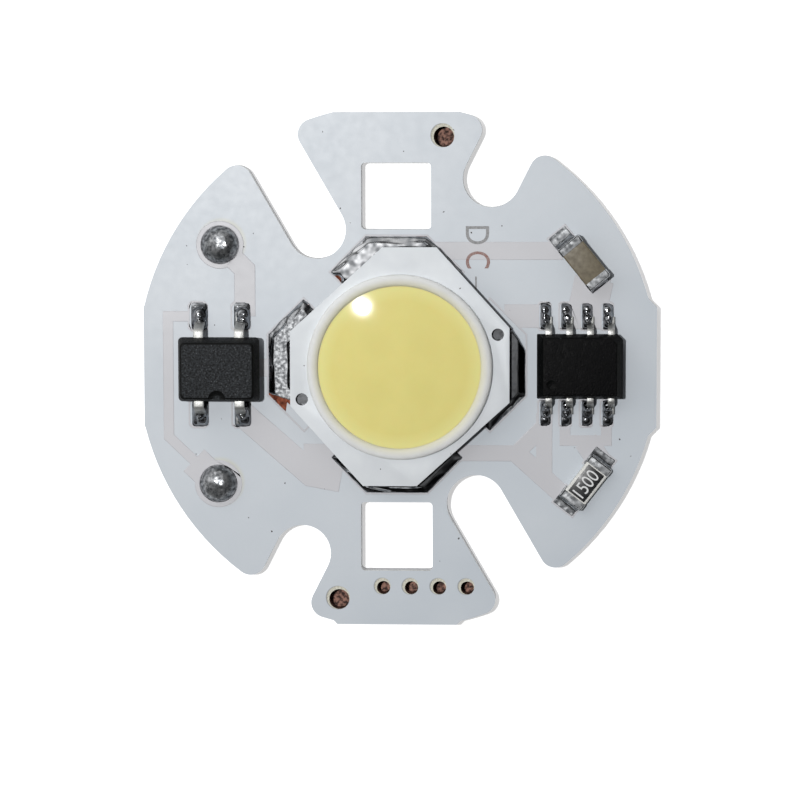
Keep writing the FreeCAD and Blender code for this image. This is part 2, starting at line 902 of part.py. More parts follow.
def lead_solder(pad_spot, side, pad_size, lead_spot, foot_size, rise):
    # Solder that fills the mask's opening, then slopes up to the edges of the foot
    width, inner, outer = pad_size
    foot_width, toe, foot = foot_size
    pad_y = pad_spot.y + side * (inner + outer) / 2
    low = cut_corner_points(pad_spot.x, pad_y, width, outer - inner, width * pad_corner)
    top_y = lead_spot.y + side * (toe - foot / 2)
    top = cut_corner_points(lead_spot.x, top_y, foot_width + 2 * foot_film,
                            foot + 4 * foot_film, foot_film)
    rings = []
    for points, z in [(low, z_mask), (top, z_mask + rise)]:
        corners = [V(px, py, z) for px, py in points]
        rings.append(Part.makePolygon(corners + [corners[0]]))
    bank = Part.makeLoft(rings, True, True)
    return joined([prism(low, z_pad, z_mask - z_pad), bank])


def bridge_rectifier():
    x = bridge_place.x
    y = bridge_place.y
    body = drafted_body(x, y, bridge_length, bridge_width, bridge_height,
                        bridge_parting, bridge_draft, bridge_draft)
    top = z_body + bridge_height
    edge_y = y - bridge_width / 2 + bridge_draft
    body = body.cut(disc(x, edge_y, top - bridge_notch_depth, 2 * bridge_notch_radius, 1.0))
    lead = gull_lead(bridge_lead_width, bridge_lead_thickness, bridge_width / 2,
                     z_body + bridge_parting, bridge_shoulder, bridge_span / 2,
                     bridge_foot, z_pad + foot_film)
    pad_size = (bridge_pad_width, bridge_pad_inner, bridge_pad_outer)
    foot_size = (bridge_lead_width, bridge_span / 2, bridge_foot)
    for row, side in [("upper", 1), ("lower", -1)]:
        joints = []
        for column, place in enumerate(["left", "right"]):
            spot = V(x + (column - 0.5) * bridge_pitch, y, 0)
            pad_spot = V(bridge_pad_centre(column, side).x, bridge_y, 0)
            own = placed_lead(lead, spot.x, spot.y, side)
            body = body.cut(own)
            parts["bridge_lead_" + row + "_" + place] = own
            joint = lead_solder(pad_spot, side, pad_size, spot, foot_size,
                                bridge_solder_rise)
            joints.append(joint.cut(own))
        parts["bridge_solder_" + row] = Part.makeCompound(joints)
    parts["bridge_body"] = body


def driver_package():
    x = driver_place.x
    y = driver_place.y
    body = drafted_body(x, y, driver_length, driver_width, driver_height,
                        driver_parting, driver_end_draft, driver_side_draft)
    corner_x = x + driver_length / 2
    corner_y = y + driver_width / 2
    cut = driver_corner_cut
    body = body.cut(prism([(corner_x - cut, corner_y), (corner_x, corner_y - cut),
                           (corner_x + cut, corner_y + cut)], 0, z_body + driver_height + 1))
    top = z_body + driver_height
    body = body.cut(disc(x - driver_length / 2 + driver_dot_inset,
                         y - driver_width / 2 + driver_dot_inset,
                         top - driver_dot_depth, driver_dot_diameter, 1.0))
    lead = gull_lead(driver_lead_width, driver_lead_thickness, driver_width / 2,
                     z_body + driver_parting, driver_shoulder, driver_span / 2,
                     driver_foot, z_pad + foot_film)
    pad_size = (driver_pad_width, driver_pad_inner, driver_pad_outer)
    foot_size = (driver_lead_width, driver_span / 2, driver_foot)
    for row, side in [("upper", 1), ("lower", -1)]:
        joints = []
        for column in range(driver_leads_per_side):
            pad_spot = V(driver_column_x(column), driver_y, 0)
            spot = pad_spot + V(driver_shift_x, driver_shift_y, 0)
            own = placed_lead(lead, spot.x, spot.y, side)
            body = body.cut(own)
            parts["driver_lead_" + row + "_" + str(column + 1)] = own
            joint = lead_solder(pad_spot, side, pad_size, spot, foot_size,
                                driver_solder_rise)
            joints.append(joint.cut(own))
        parts["driver_solder_" + row] = Part.makeCompound(joints)
    parts["driver_body"] = body


def chip_envelope(height):
    z = z_pad + foot_film
    envelope = block(0, 0, z, chip_length, chip_width, height)
    return envelope.makeChamfer(chip_round, envelope.Edges)


def chip_pieces(height):
    # Ceramic block and the two plated end caps that wrap it
    z = z_pad + foot_film
    thin = 2 * chip_plating
    core = block(0, 0, z + chip_plating, chip_length - thin, chip_width - thin, height - thin)
    core = core.makeChamfer(chip_round - chip_plating, core.Edges)
    shell = chip_envelope(height).cut(core)
    caps = []
    for side in (-1, 1):
        keep = block(side * (chip_length - chip_band) / 2, 0, z - 1, chip_band,
                     2 * chip_width, height + 2)
        caps.append(shell.common(keep))
    return core, caps


def end_fillet(pad_size, height, along, across):
    # Solder at one end of a chip: under it, then up its end face in a hollow curve.
    # Drawn for the end that points to +X, with the chip moved along and across its pads.
    span, width, length = pad_size
    outer = span / 2
    inner = outer - length
    face = chip_length / 2 + along
    level = z_pad + foot_film + height * fillet_climb
    lip = z_mask + foot_film
    run = max(outer - face, chip_plating)
    bend = V(outer - run * 0.7, 0, lip + (level - lip) * 0.22)
    start = V(outer, 0, lip)
    stop = V(outer - run, 0, level)
    edges = [Part.makeLine(V(inner, 0, z_pad), V(outer, 0, z_pad)),
             Part.makeLine(V(outer, 0, z_pad), start),
             Part.Arc(start, bend, stop).toShape(),
             Part.makeLine(stop, V(inner, 0, level)),
             Part.makeLine(V(inner, 0, level), V(inner, 0, z_pad))]
    bank = Part.Face(Part.Wire(edges)).extrude(V(0, width, 0))
    bank.translate(V(0, -width / 2, 0))
    chip = chip_envelope(height)
    above = block(0, 0, z_pad + foot_film + chip_round, chip_length, 2 * chip_width,
                  height + 1)
    for cutter in (chip, above):
        cutter.translate(V(along, across, 0))
        bank = bank.cut(cutter)
    return largest(bank)


def chip_on_board(name, spot, shift, turn, height, pad_size):
    # The placement offset, seen in the chip's own turned frame
    offset = turned(Part.Vertex(shift.x, shift.y, 0), -turn).Point
    core, caps = chip_pieces(height)
    place = spot + shift
    parts[name + "_body"] = turned(core, turn, place.x, place.y)
    for side, cap, end in [(-1, caps[0], "a"), (1, caps[1], "b")]:
        parts[name + "_cap_" + end] = turned(cap, turn, place.x, place.y)
        joint = end_fillet(pad_size, height, offset.x * side, offset.y * side)
        joint = turned(joint, 0 if side > 0 else 180)
        parts[name + "_solder_" + end] = turned(joint, turn, spot.x, spot.y)


def chips():
    chip_on_board("capacitor", V(capacitor_x, capacitor_y, 0),
                  V(capacitor_shift_x, capacitor_shift_y, 0), capacitor_turn, capacitor_height,
                  (capacitor_pad_span, capacitor_pad_width, capacitor_pad_length))
    resistor_spot = V(resistor_x, resistor_y, 0)
    resistor_shift = V(resistor_shift_x, resistor_shift_y, 0)
    chip_on_board("resistor", resistor_spot, resistor_shift, resistor_turn, resistor_height,
                  (resistor_pad_span, resistor_pad_width, resistor_pad_length))
    coat_z = z_pad + foot_film + resistor_height - chip_plating
    coat = block(0, 0, coat_z, coat_length, coat_width, coat_thickness)
    place = resistor_spot + resistor_shift
    parts["resistor_coat"] = turned(coat, resistor_turn, place.x, place.y)


# Mains solder domes


def solder_dome(x, y):
    # Filled up to the mask's top inside its opening, then a low cap
    radius = dome_diameter / 2
    sphere_radius = (radius * radius + dome_height * dome_height) / (2 * dome_height)
    profile = [(0, z_pad), (radius, z_pad), (radius, z_mask)]
    whole = math.asin(radius / sphere_radius)
    for step in range(1, dome_chords + 1):
        angle = whole * (1 - step / dome_chords)
        height = sphere_radius * (math.cos(angle) - 1) + dome_height
        profile.append((sphere_radius * math.sin(angle), z_mask + height))
    return turned_ring(profile, x, y)


def build():
    parts["base_plate"] = board_layer(0, base_thickness)
    parts["dielectric"] = board_layer(z_dielectric, dielectric_thickness)
    nets = foil()
    parts.update(nets)
    parts["solder_mask"] = solder_mask(nets)
    parts["mains_solder_upper"] = solder_dome(dome_upper_x, dome_upper_y)
    parts["mains_solder_lower"] = solder_dome(dome_lower_x, dome_lower_y)
    light_source()
    bridge_rectifier()
    driver_package()
    chips()


def export():
    os.makedirs("parts", exist_ok=True)
    for name in sorted(parts):
        shape = parts[name]
        if not shape.isValid() or shape.Volume <= 0:
            print("not sound:", name)
        print(name, len(shape.Solids), "solids", round(shape.Volume, 4), "mm3")
        shape.exportStep("parts/" + name + ".step")


build()
export()
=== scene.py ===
# Looks of a round mains LED board: white-masked aluminium with a yellow light source in the
# middle, a bridge rectifier on the left, an eight-lead driver on the right, two chip parts
# and two solder domes for the supply wires.
import math

import bmesh
import bpy
from mathutils import Matrix, Vector, noise


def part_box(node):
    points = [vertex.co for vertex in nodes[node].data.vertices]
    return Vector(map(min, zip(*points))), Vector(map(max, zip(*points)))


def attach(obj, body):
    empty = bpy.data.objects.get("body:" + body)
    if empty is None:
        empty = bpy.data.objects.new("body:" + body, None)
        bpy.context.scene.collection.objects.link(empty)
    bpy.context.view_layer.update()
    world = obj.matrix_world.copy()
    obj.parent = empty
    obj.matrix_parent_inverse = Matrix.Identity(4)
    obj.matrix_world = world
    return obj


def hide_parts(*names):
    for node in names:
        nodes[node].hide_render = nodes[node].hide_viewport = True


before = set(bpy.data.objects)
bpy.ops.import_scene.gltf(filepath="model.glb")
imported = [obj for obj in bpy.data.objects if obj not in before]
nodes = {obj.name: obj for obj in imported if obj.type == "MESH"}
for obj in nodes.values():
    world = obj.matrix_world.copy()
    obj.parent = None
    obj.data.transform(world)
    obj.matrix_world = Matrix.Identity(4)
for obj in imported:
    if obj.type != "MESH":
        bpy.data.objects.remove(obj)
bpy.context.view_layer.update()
mm = 0.001

# Levels and the plate's middle, repeated from the part's own source, in millimetres
board = dict(foilZ=1.1, padZ=1.135, maskZ=1.16, plateTopZ=2.21, middle=(0.25, 0.09))


def say(text):
    print("scene:", text)


# Small helpers for node trees and materials

def hexColour(text):
    parts = [int(text[i:i + 2], 16) / 255 for i in (1, 3, 5)]
    return tuple(c / 12.92 if c <= 0.04045 else ((c + 0.055) / 1.055) ** 2.4
                 for c in parts) + (1.0,)


def addNode(tree, kind, links=None, **settings):
    # One node with its settings, and its sockets filled or linked
    node = tree.nodes.new(kind)
    for name, value in settings.items():
        setattr(node, name, value)
    for key, value in (links or {}).items():
        if isinstance(value, bpy.types.NodeSocket):
            tree.links.new(value, node.inputs[key])
        else:
            node.inputs[key].default_value = value
    return node


def startMaterial(name, **shaderValues):
    material = bpy.data.materials.new(name)
    material.use_nodes = True
    tree = material.node_tree
    tree.nodes.clear()
    values = {key.replace("_", " "): value for key, value in shaderValues.items()}
    shader = addNode(tree, "ShaderNodeBsdfPrincipled", values)
    addNode(tree, "ShaderNodeOutputMaterial", {"Surface": shader.outputs[0]})
    where = addNode(tree, "ShaderNodeTexCoord").outputs["Object"]
    return material, tree, shader, where


def patches(tree, where, size, low=0.3, high=0.7, detail=2.0, stretch=None):
    # 0 to 1 in soft patches about size millimetres wide
    if stretch:
        where = addNode(tree, "ShaderNodeMapping", {"Vector": where, "Scale": stretch}).outputs[0]
    cloud = addNode(tree, "ShaderNodeTexNoise",
                    {"Vector": where, "Scale": 1 / (size * mm), "Detail": detail})
    return addNode(tree, "ShaderNodeMapRange",
                   {"Value": cloud.outputs["Fac"], "From Min": low, "From Max": high}).outputs[0]


def nearSpot(tree, where, spot, inside, outside):
    # 1 within inside millimetres of an upright line at spot, 0 beyond outside; where outside
    # is the smaller of the two, 0 in the middle and 1 all round
    flat = addNode(tree, "ShaderNodeVectorMath", {0: where, 1: (1, 1, 0)}, operation="MULTIPLY")
    gap = addNode(tree, "ShaderNodeVectorMath",
                  {0: flat.outputs[0], 1: (spot[0] * mm, spot[1] * mm, 0)}, operation="DISTANCE")
    return addNode(tree, "ShaderNodeMapRange",
                   {"Value": gap.outputs["Value"], "From Min": inside * mm,
                    "From Max": outside * mm, "To Min": 1.0, "To Max": 0.0}).outputs[0]


def facingUp(tree):
    # 1 on a flat top, 0 on an upright wall, -1 underneath
    normal = addNode(tree, "ShaderNodeNewGeometry").outputs["Normal"]
    return addNode(tree, "ShaderNodeSeparateXYZ", {0: normal}).outputs["Z"]


def largest(tree, shares):
    total = shares[0]
    for share in shares[1:]:
        total = addNode(tree, "ShaderNodeMath", {0: total, 1: share},
                        operation="MAXIMUM").outputs[0]
    return total


def paint(tree, base, *coats):
    # A base colour with coats over it: each a share, a colour and, if given, its full strength
    colour = hexColour(base)
    for share, coat, *strength in coats:
        if strength:
            share = addNode(tree, "ShaderNodeMath", {0: share, 1: strength[0]},
                            operation="MULTIPLY").outputs[0]
        over = hexColour(coat) if isinstance(coat, str) else coat
        colour = addNode(tree, "ShaderNodeMix", {0: share, 6: colour, 7: over},
                         data_type="RGBA").outputs[2]
    return colour


def giveColour(tree, shader, base, *coats):
    tree.links.new(paint(tree, base, *coats), shader.inputs["Base Color"])


def giveRoughness(tree, shader, share, low, high):
    rough = addNode(tree, "ShaderNodeMapRange",
                    {"Value": share, "To Min": low, "To Max": high})
    tree.links.new(rough.outputs[0], shader.inputs["Roughness"])


def giveBump(tree, shader, height, depth, strength):
    bump = addNode(tree, "ShaderNodeBump",
                   {"Height": height, "Strength": strength, "Distance": depth * mm})
    tree.links.new(bump.outputs[0], shader.inputs["Normal"])


# Materials of the board

# Round openings in the board, their middles and radii; the mask carries a dark grey crescent
# a little up and left of each drilled hole
holeSpots = [(2.93, 14.1, 0.62), (-3.58, -14.44, 0.62), (-0.82, -13.7, 0.41),
             (0.9, -13.7, 0.41), (2.63, -13.7, 0.41), (4.36, -13.7, 0.41)]
# Yellowish grey rings on the mask round the two solder domes
domeRings = dict(spots=[(-10.74, 7.63), (-10.94, -7.14)], inside=1.35, outside=1.6)
# Spots where the reflow left the ring's copper bare: x, y, reach in millimetres
bareCopper = [(-3.62, 5.38, 0.3), (-3.9, 5.15, 0.3), (-6.75, -2.55, 0.5), (-7.1, -2.3, 0.3),
              (-4.02, -5.45, 0.14)]


def whiteMask(name, light, shade, aroundHoles=False):
    # Photo-imaged white epoxy ink: satin, faintly mottled, with a fine orange peel
    material, tree, shader, where = startMaterial(name, IOR=1.5)
    coats = [(patches(tree, where, 5.0, 0.35, 0.68), shade),
             (patches(tree, where, 0.16, 0.3, 0.72, detail=4.0), shade, 0.22)]
    if aroundHoles:
        # A dark grey crescent on the mask, a little up and left of each drilled hole
        holeCrescents = [nearSpot(tree, where, (x - 0.1, y + 0.1), r + 0.03, r + 0.14)
                for x, y, r in holeSpots]
        # and a yellowish grey ring round each solder dome
        rings = [nearSpot(tree, where, spot, domeRings["inside"], domeRings["outside"])
                 for spot in domeRings["spots"]]
        coats += [(largest(tree, holeCrescents), "#5c5c5c"), (largest(tree, rings), "#bdbdae", 0.75)]
    giveColour(tree, shader, light, *coats)
    giveRoughness(tree, shader, patches(tree, where, 0.6), 0.36, 0.4)
    giveBump(tree, shader, patches(tree, where, 0.35, 0.25, 0.75, detail=3.0), 0.0006, 0.6)
    return material


def plateMaskInk():
    # Glossier reflective white on the light source's own plate, almost without mottling
    material, tree, shader, where = startMaterial("reflectiveWhiteInk", IOR=1.5,
                                                  Specular_IOR_Level=0.25)
    giveColour(tree, shader, "#dee2e5", (patches(tree, where, 1.4), "#d8dce0"))
    giveRoughness(tree, shader, patches(tree, where, 0.5), 0.45, 0.6)
    giveBump(tree, shader, patches(tree, where, 0.3), 0.002, 0.5)
    return material


def punchedAluminium():
    # Milled and punched aluminium: satin face with rolling lines; painted shade darkens its
    # upright walls to grey and the drilled holes' walls to dark brown
    material, tree, shader, where = startMaterial("punchedAluminium", Metallic=1.0)
    lines = patches(tree, where, 0.05, detail=3.0, stretch=(0.02, 1, 1))
    flat = addNode(tree, "ShaderNodeMath", {0: facingUp(tree)}, operation="ABSOLUTE")
    wallShade = addNode(tree, "ShaderNodeMath", {0: 1.0, 1: flat.outputs[0]}, operation="SUBTRACT")
    holeWallShade = [nearSpot(tree, where, (x, y), r + 0.04, r + 0.06) for x, y, r in holeSpots]
    # Painted shade: grey on the upright walls, dark brown in the drilled holes
    giveColour(tree, shader, "#b9babb", (lines, "#d2d3d4"), (wallShade.outputs[0], "#7c7d80"),
               (largest(tree, holeWallShade), "#3a2a25"))
    giveRoughness(tree, shader, lines, 0.3, 0.5)
    giveBump(tree, shader, lines, 0.004, 0.5)
    return material


def reflowedSolder(name, bright, dark, rough, frostSize, detail, ripple, sides=0.25,
                   bareSpots=()):
    # Tin alloy frozen from the melt: bright, with frosted patches and fine ripples; steep sides
    # froze smoother than flat tops and keep no more of the roughness than the share sides
    material, tree, shader, where = startMaterial(name, Metallic=1.0)
    frost = patches(tree, where, frostSize, 0.36, 0.66, detail)
    coats = [(frost, dark)]
    if bareSpots:
        spots = [nearSpot(tree, where, (x, y), r * 0.8, r) for x, y, r in bareSpots]
        coats.append((largest(tree, spots), "#a5583c"))
    giveColour(tree, shader, bright, *coats)
    flat = addNode(tree, "ShaderNodeMapRange", {"Value": facingUp(tree), "From Min": 0.78,
                                                "From Max": 0.94, "To Min": sides})
    frosted = addNode(tree, "ShaderNodeMapRange", {"Value": frost, "To Min": rough[0],
                                                   "To Max": rough[1]})
    both = addNode(tree, "ShaderNodeMath", {0: frosted.outputs[0], 1: flat.outputs[0]},
                   operation="MULTIPLY")
    tree.links.new(both.outputs[0], shader.inputs["Roughness"])
    giveBump(tree, shader, patches(tree, where, frostSize * 0.8, 0.2, 0.8), ripple, 0.8)
    return material


def mouldCompound(name, top, topGrain, side, grainSize, roughness, gloss, paleShare):
    # Silica-filled black epoxy: the top is spark-eroded and shows pale filler grains, the
    # drafted sides are smoother and blacker
    material, tree, shader, where = startMaterial(name, IOR=1.5, Specular_IOR_Level=gloss)
    cloud = patches(tree, where, grainSize, 0.38, 0.66, detail=5.0)
    grains = addNode(tree, "ShaderNodeTexVoronoi", {"Vector": where, "Scale": 1 / (0.16 * mm)})
    pale = addNode(tree, "ShaderNodeMapRange",
                   {"Value": grains.outputs["Distance"], "From Min": 0.1, "From Max": 0.24,
                    "To Min": paleShare, "To Max": 0.0})
    drafted = addNode(tree, "ShaderNodeMapRange",
                      {"Value": facingUp(tree), "From Min": 0.985, "From Max": 0.998,
                       "To Min": 1.0, "To Max": 0.0})
    giveColour(tree, shader, top, (cloud, topGrain), (pale.outputs[0], "#77797b"),
               (drafted.outputs[0], side))
    giveRoughness(tree, shader, cloud, roughness - 0.08, roughness + 0.1)
    giveBump(tree, shader, patches(tree, where, 0.1, 0.25, 0.75, detail=4.0), 0.02, 0.8)
    return material


def milkySilicone():
    # Milky silicone bead: light goes a little way in, so its roundness hardly shows, and
    # yellow from the phosphor shows through its inner side
    material, tree, shader, where = startMaterial(
        "milkySiliconeBead", Roughness=0.55, IOR=1.41, Specular_IOR_Level=0.25,
        Subsurface_Weight=0.6, Subsurface_Scale=0.5 * mm, Subsurface_Radius=(1, 1, 1))
    warm = nearSpot(tree, where, board["middle"], 5.0, 5.45)
    giveColour(tree, shader, "#dedfde", (patches(tree, where, 0.9), "#d8d9d7"),
               (warm, "#d9d6bf"))
    giveBump(tree, shader, patches(tree, where, 0.5), 0.004, 0.4)
    return material


phosphorLook = dict(body="#e3d888", patch="#dfd484", rim="#e5de92", edge="#dbc79c",
                    pitch=2.95, dieHalf=0.75, radius=5.0)


def yellowPhosphor():
    # Yellow phosphor stirred into clear silicone: soft body colour under a wet gloss
    look = phosphorLook
    material, tree, shader, where = startMaterial(
        "phosphorInSilicone", IOR=1.41, Specular_IOR_Level=0.1, Coat_Weight=0.5,
        Coat_Roughness=0.05, Subsurface_Weight=0.15, Subsurface_Scale=0.3 * mm)
    half = look["pitch"] / 2
    x, y = board["middle"]
    dies = [nearSpot(tree, where, (x + sideX * half, y + sideY * half),
                     look["dieHalf"] * 0.5, look["dieHalf"] * 1.7)
            for sideX in (-1, 1) for sideY in (-1, 1)]
    rim = nearSpot(tree, where, (x, y), look["radius"] - 0.25, look["radius"] - 0.9)
    edge = nearSpot(tree, where, (x, y), look["radius"] + 0.1, look["radius"] - 0.12)
    cloud = patches(tree, where, 1.2)
    giveColour(tree, shader, look["body"], (cloud, look["patch"], 0.5),
               (largest(tree, dies), look["patch"], 0.8), (rim, look["rim"]),
               (edge, look["edge"]))
    giveRoughness(tree, shader, cloud, 0.5, 0.6)
    giveBump(tree, shader, patches(tree, where, 2.2, 0.2, 0.8, detail=1.0), 0.01, 0.35)
    return material


def twoToned(name, light, dark, size, rough, relief=None, low=0.3, detail=2.0, **values):
    # Two close tones in soft patches. rough is one number, or a pair that the patches run
    # between; relief is the grain size, depth, strength and detail of the bumps
    material, tree, shader, where = startMaterial(name, **values)
    cloud = patches(tree, where, size, low, 1 - low, detail)
    giveColour(tree, shader, light, (cloud, dark))
    if isinstance(rough, tuple):
        giveRoughness(tree, shader, cloud, *rough)
    else:
        shader.inputs["Roughness"].default_value = rough
    if relief:
        grain, depth, strength, reliefDetail = relief
        giveBump(tree, shader, patches(tree, where, grain, detail=reliefDetail), depth, strength)
    return material


finishes = {
    "maskInk": whiteMask("solderMaskInk", "#bfc5cb", "#b8bfc6", aroundHoles=True),
    "inkOverCopper": whiteMask("solderMaskInkOverCopper", "#bdbdc1", "#b7b7bb"),
    "plateInk": plateMaskInk(),
    "aluminium": punchedAluminium(),
    # Ceramic-filled epoxy film: matt cream with filler grains
    "epoxy": twoToned("filledEpoxyFilm", "#d8d6c8", "#b9b6a6", 0.08, 0.65,
                      (0.05, 0.004, 0.5, 2.0), low=0.35, IOR=1.55),
    # Etched copper foil, dulled brown where flux has burnt it
    "copper": twoToned("etchedCopperFoil", "#7d4836", "#4a281e", 0.25, (0.5, 0.7),
                       (0.06, 0.003, 0.6, 2.0), detail=3.0, Metallic=1.0),
    "bankSolder": reflowedSolder("reflowedSolderBank", "#d0d1d3", "#9a9c9f", (0.55, 0.75),
                                 0.5, 1.0, 0.002, bareSpots=bareCopper),
    "frostedSolder": reflowedSolder("frostedSolderBank", "#bdbfc1", "#8e9093", (0.58, 0.8),
                                    0.2, 2.0, 0.004, bareSpots=bareCopper),
    "jointSolder": reflowedSolder("reflowedSolderJoint", "#a0a2a5", "#606265", (0.14, 0.2),
                                  0.4, 1.0, 0.0015),
    "domeSolder": reflowedSolder("reflowedSolderDome", "#b9bbbd", "#5c5e61", (0.32, 0.46),
                                 0.22, 3.0, 0.008, sides=1.0),
    "chipSolder": reflowedSolder("reflowedChipJoint", "#b4b6b8", "#77797c", (0.6, 0.8),
                                 0.3, 2.0, 0.006),
    "capTin": reflowedSolder("solderedEndCap", "#a4a6a8", "#7c7e80", (0.55, 0.75),
                             0.3, 2.0, 0.005),
    # Matt electroplated tin on stamped copper alloy: pale, grainy, no clear reflection
    "tin": twoToned("mattTinPlate", "#c9c9c6", "#a4a5a3", 0.05, (0.4, 0.58),
                    (0.05, 0.004, 0.6, 3.0), detail=3.0, Metallic=1.0),
    "rectifierMould": mouldCompound("coarseMouldCompound", "#0d0e0f", "#393c3f", "#030404",
                                    grainSize=0.12, roughness=0.6, gloss=0.12, paleShare=0.4),
    "driverMould": mouldCompound("fineMouldCompound", "#020203", "#060607", "#050606",
                                 grainSize=0.2, roughness=0.42, gloss=0.05, paleShare=0.03),
    # Barium titanate block: satin grey-tan with a faint grain
    "capacitor": twoToned("sinteredCapacitorCeramic", "#716854", "#5d5545", 0.3, (0.38, 0.52),
                          (0.06, 0.004, 0.6, 2.0), detail=4.0, IOR=1.6,
                          Specular_IOR_Level=0.25),
    # Fired alumina: white, matt, slightly grainy
    "alumina": twoToned("firedAlumina", "#dcdcd8", "#c4c4c0", 0.12, 0.6,
                        (0.05, 0.003, 0.6, 2.0), IOR=1.65),
    # Screen-printed glass glaze: black and smooth, rounded over at its edge
    "glaze": twoToned("blackGlassGlaze", "#17181a", "#232426", 0.2, (0.28, 0.42), IOR=1.5),
    "silicone": milkySilicone(),
    "phosphor": yellowPhosphor(),
    # Screen-printed marking inks, thin enough to be uneven
    "greyInk": twoToned("greyMarkingInk", "#757576", "#959596", 0.1, 0.5, detail=3.0, IOR=1.5),
    "rustInk": twoToned("greyMarkingInkOverCopper", "#7e4a3e", "#927f7a", 0.1, 0.5, detail=3.0,
                        IOR=1.5),
    "whiteInk": twoToned("whiteMarkingInk", "#dedfdf", "#c4c6c6", 0.1, 0.5, detail=3.0,
                         IOR=1.5),
    # Burnt flux: dark, dry, grainy crumbs
    "crumbs": twoToned("fluxCrumbs", "#4a423c", "#2c2824", 0.05, 0.7, (0.05, 0.003, 0.5, 2.0)),
    # Working surfaces that the phosphor or the plate mostly hides
    # The plate's sides are near black: its dark core, and painted shade along its edges
    "plateCoreAndShade": twoToned("darkPlateCoreAndShade", "#131416", "#1f2022", 0.2, 0.5,
                          (0.2, 0.003, 0.5, 2.0)),
    "die": twoToned("polishedDie", "#9aa4b4", "#7f8998", 0.3, 0.1, (0.3, 0.003, 0.5, 2.0)),
    "gold": twoToned("drawnGoldWire", "#e0b050", "#b98a35", 0.03, 0.25,
                     (0.03, 0.003, 0.5, 2.0), Metallic=1.0),
    "paste": twoToned("thermalPaste", "#bfbfbf", "#a2a2a2", 0.2, 0.8, (0.2, 0.003, 0.5, 2.0)),
}
say("materials made")


# Small helpers for shapes

weldGap = 0.0004  # corners of the CAD triangles nearer than this are one, in millimetres


def newObject(name, data):
    thing = bpy.data.objects.new(name, data)
    bpy.context.scene.collection.objects.link(thing)
    return thing


def pieceFrom(work, name, turnOut=False):
    # The drawn mesh as a piece, its faces turned outwards where they were drawn one by one
    if turnOut:
        bmesh.ops.recalc_face_normals(work, faces=work.faces)
    mesh = bpy.data.meshes.new(name)
    work.to_mesh(mesh)
    work.free()
    return newObject(name, mesh)


def welded(nodeName):
    # A CAD node's loose triangles, joined where they meet
    work = bmesh.new()
    work.from_mesh(nodes[nodeName].data)
    bmesh.ops.remove_doubles(work, verts=work.verts, dist=weldGap * mm)
    return work


def point(work, x, y, z):
    return work.verts.new((x * mm, y * mm, z * mm))


def skin(work, rings, ends=True):
    # Faces from each ring of points to the next, and over the end rings; a ring may be a
    # single point
    for first, second in zip(rings, rings[1:]):
        for k in range(max(len(first), len(second))):
            corners = [first[k % len(first)], second[k % len(second)],
                       second[(k + 1) % len(second)], first[(k + 1) % len(first)]]
            corners = list(dict.fromkeys(corners))
            if len(corners) > 2:
                work.faces.new(corners)
    if ends:
        for ring in (rings[0], rings[-1]):
            if len(ring) > 2:
                work.faces.new(ring)


def heap(work, rings, footZ):
    # A heap of solder from its summit down to a flat foot at height footZ
    foot = [work.verts.new((v.co.x, v.co.y, footZ * mm)) for v in rings[-1]]
    skin(work, rings + [foot])


def prism(name, corners, low, high):
    # A closed upright prism on a flat outline, in millimetres
    work = bmesh.new()
    skin(work, [[point(work, x, y, z) for x, y in corners] for z in (low, high)])
    return pieceFrom(work, name, turnOut=True)


def turnedShape(name, profile, middle, steps):
    # A closed turned shape from (radius, height) pairs in millimetres
    work = bmesh.new()
    rings = []
    for radius, height in profile:
        rings.append([point(work, middle[0] + radius * math.cos(2 * math.pi * k / steps),
                            middle[1] + radius * math.sin(2 * math.pi * k / steps), height)
                      for k in range(steps if radius else 1)])
    skin(work, rings + rings[:1], ends=False)
    return pieceFrom(work, name, turnOut=True)


def settle(piece):
    # Turns what the modifiers show into the piece's own mesh
    bpy.context.view_layer.update()
    shown = piece.evaluated_get(bpy.context.evaluated_depsgraph_get())
    mesh = bpy.data.meshes.new_from_object(shown)
    piece.modifiers.clear()
    piece.data = mesh
    return piece


def addModifier(piece, kind, **settings):
    modifier = piece.modifiers.new(kind.title(), kind)
    for name, value in settings.items():
        setattr(modifier, name, value)


def place(piece, finish, slot, *replaced, smoothTo=35):
    # Finish, shading, body and the CAD nodes that the piece stands for; slot is not used
    piece.data.materials.clear()
    piece.data.materials.append(finishes[finish])
    if smoothTo:
        piece.data.shade_smooth()
        piece.data.set_sharp_from_angle(angle=math.radians(smoothTo))
    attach(piece, "root")
    if replaced:
        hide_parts(*replaced)


def edged(name, nodeName, width, segments):
    # A copy of a CAD node in whole faces, its sharp edges rounded by width millimetres
    work = welded(nodeName)
    bmesh.ops.dissolve_limit(work, angle_limit=math.radians(0.6), verts=work.verts,
                             edges=work.edges)
    piece = pieceFrom(work, name)
    addModifier(piece, "BEVEL", width=width * mm, segments=segments, limit_method="ANGLE",
                angle_limit=math.radians(30))
    return settle(piece)


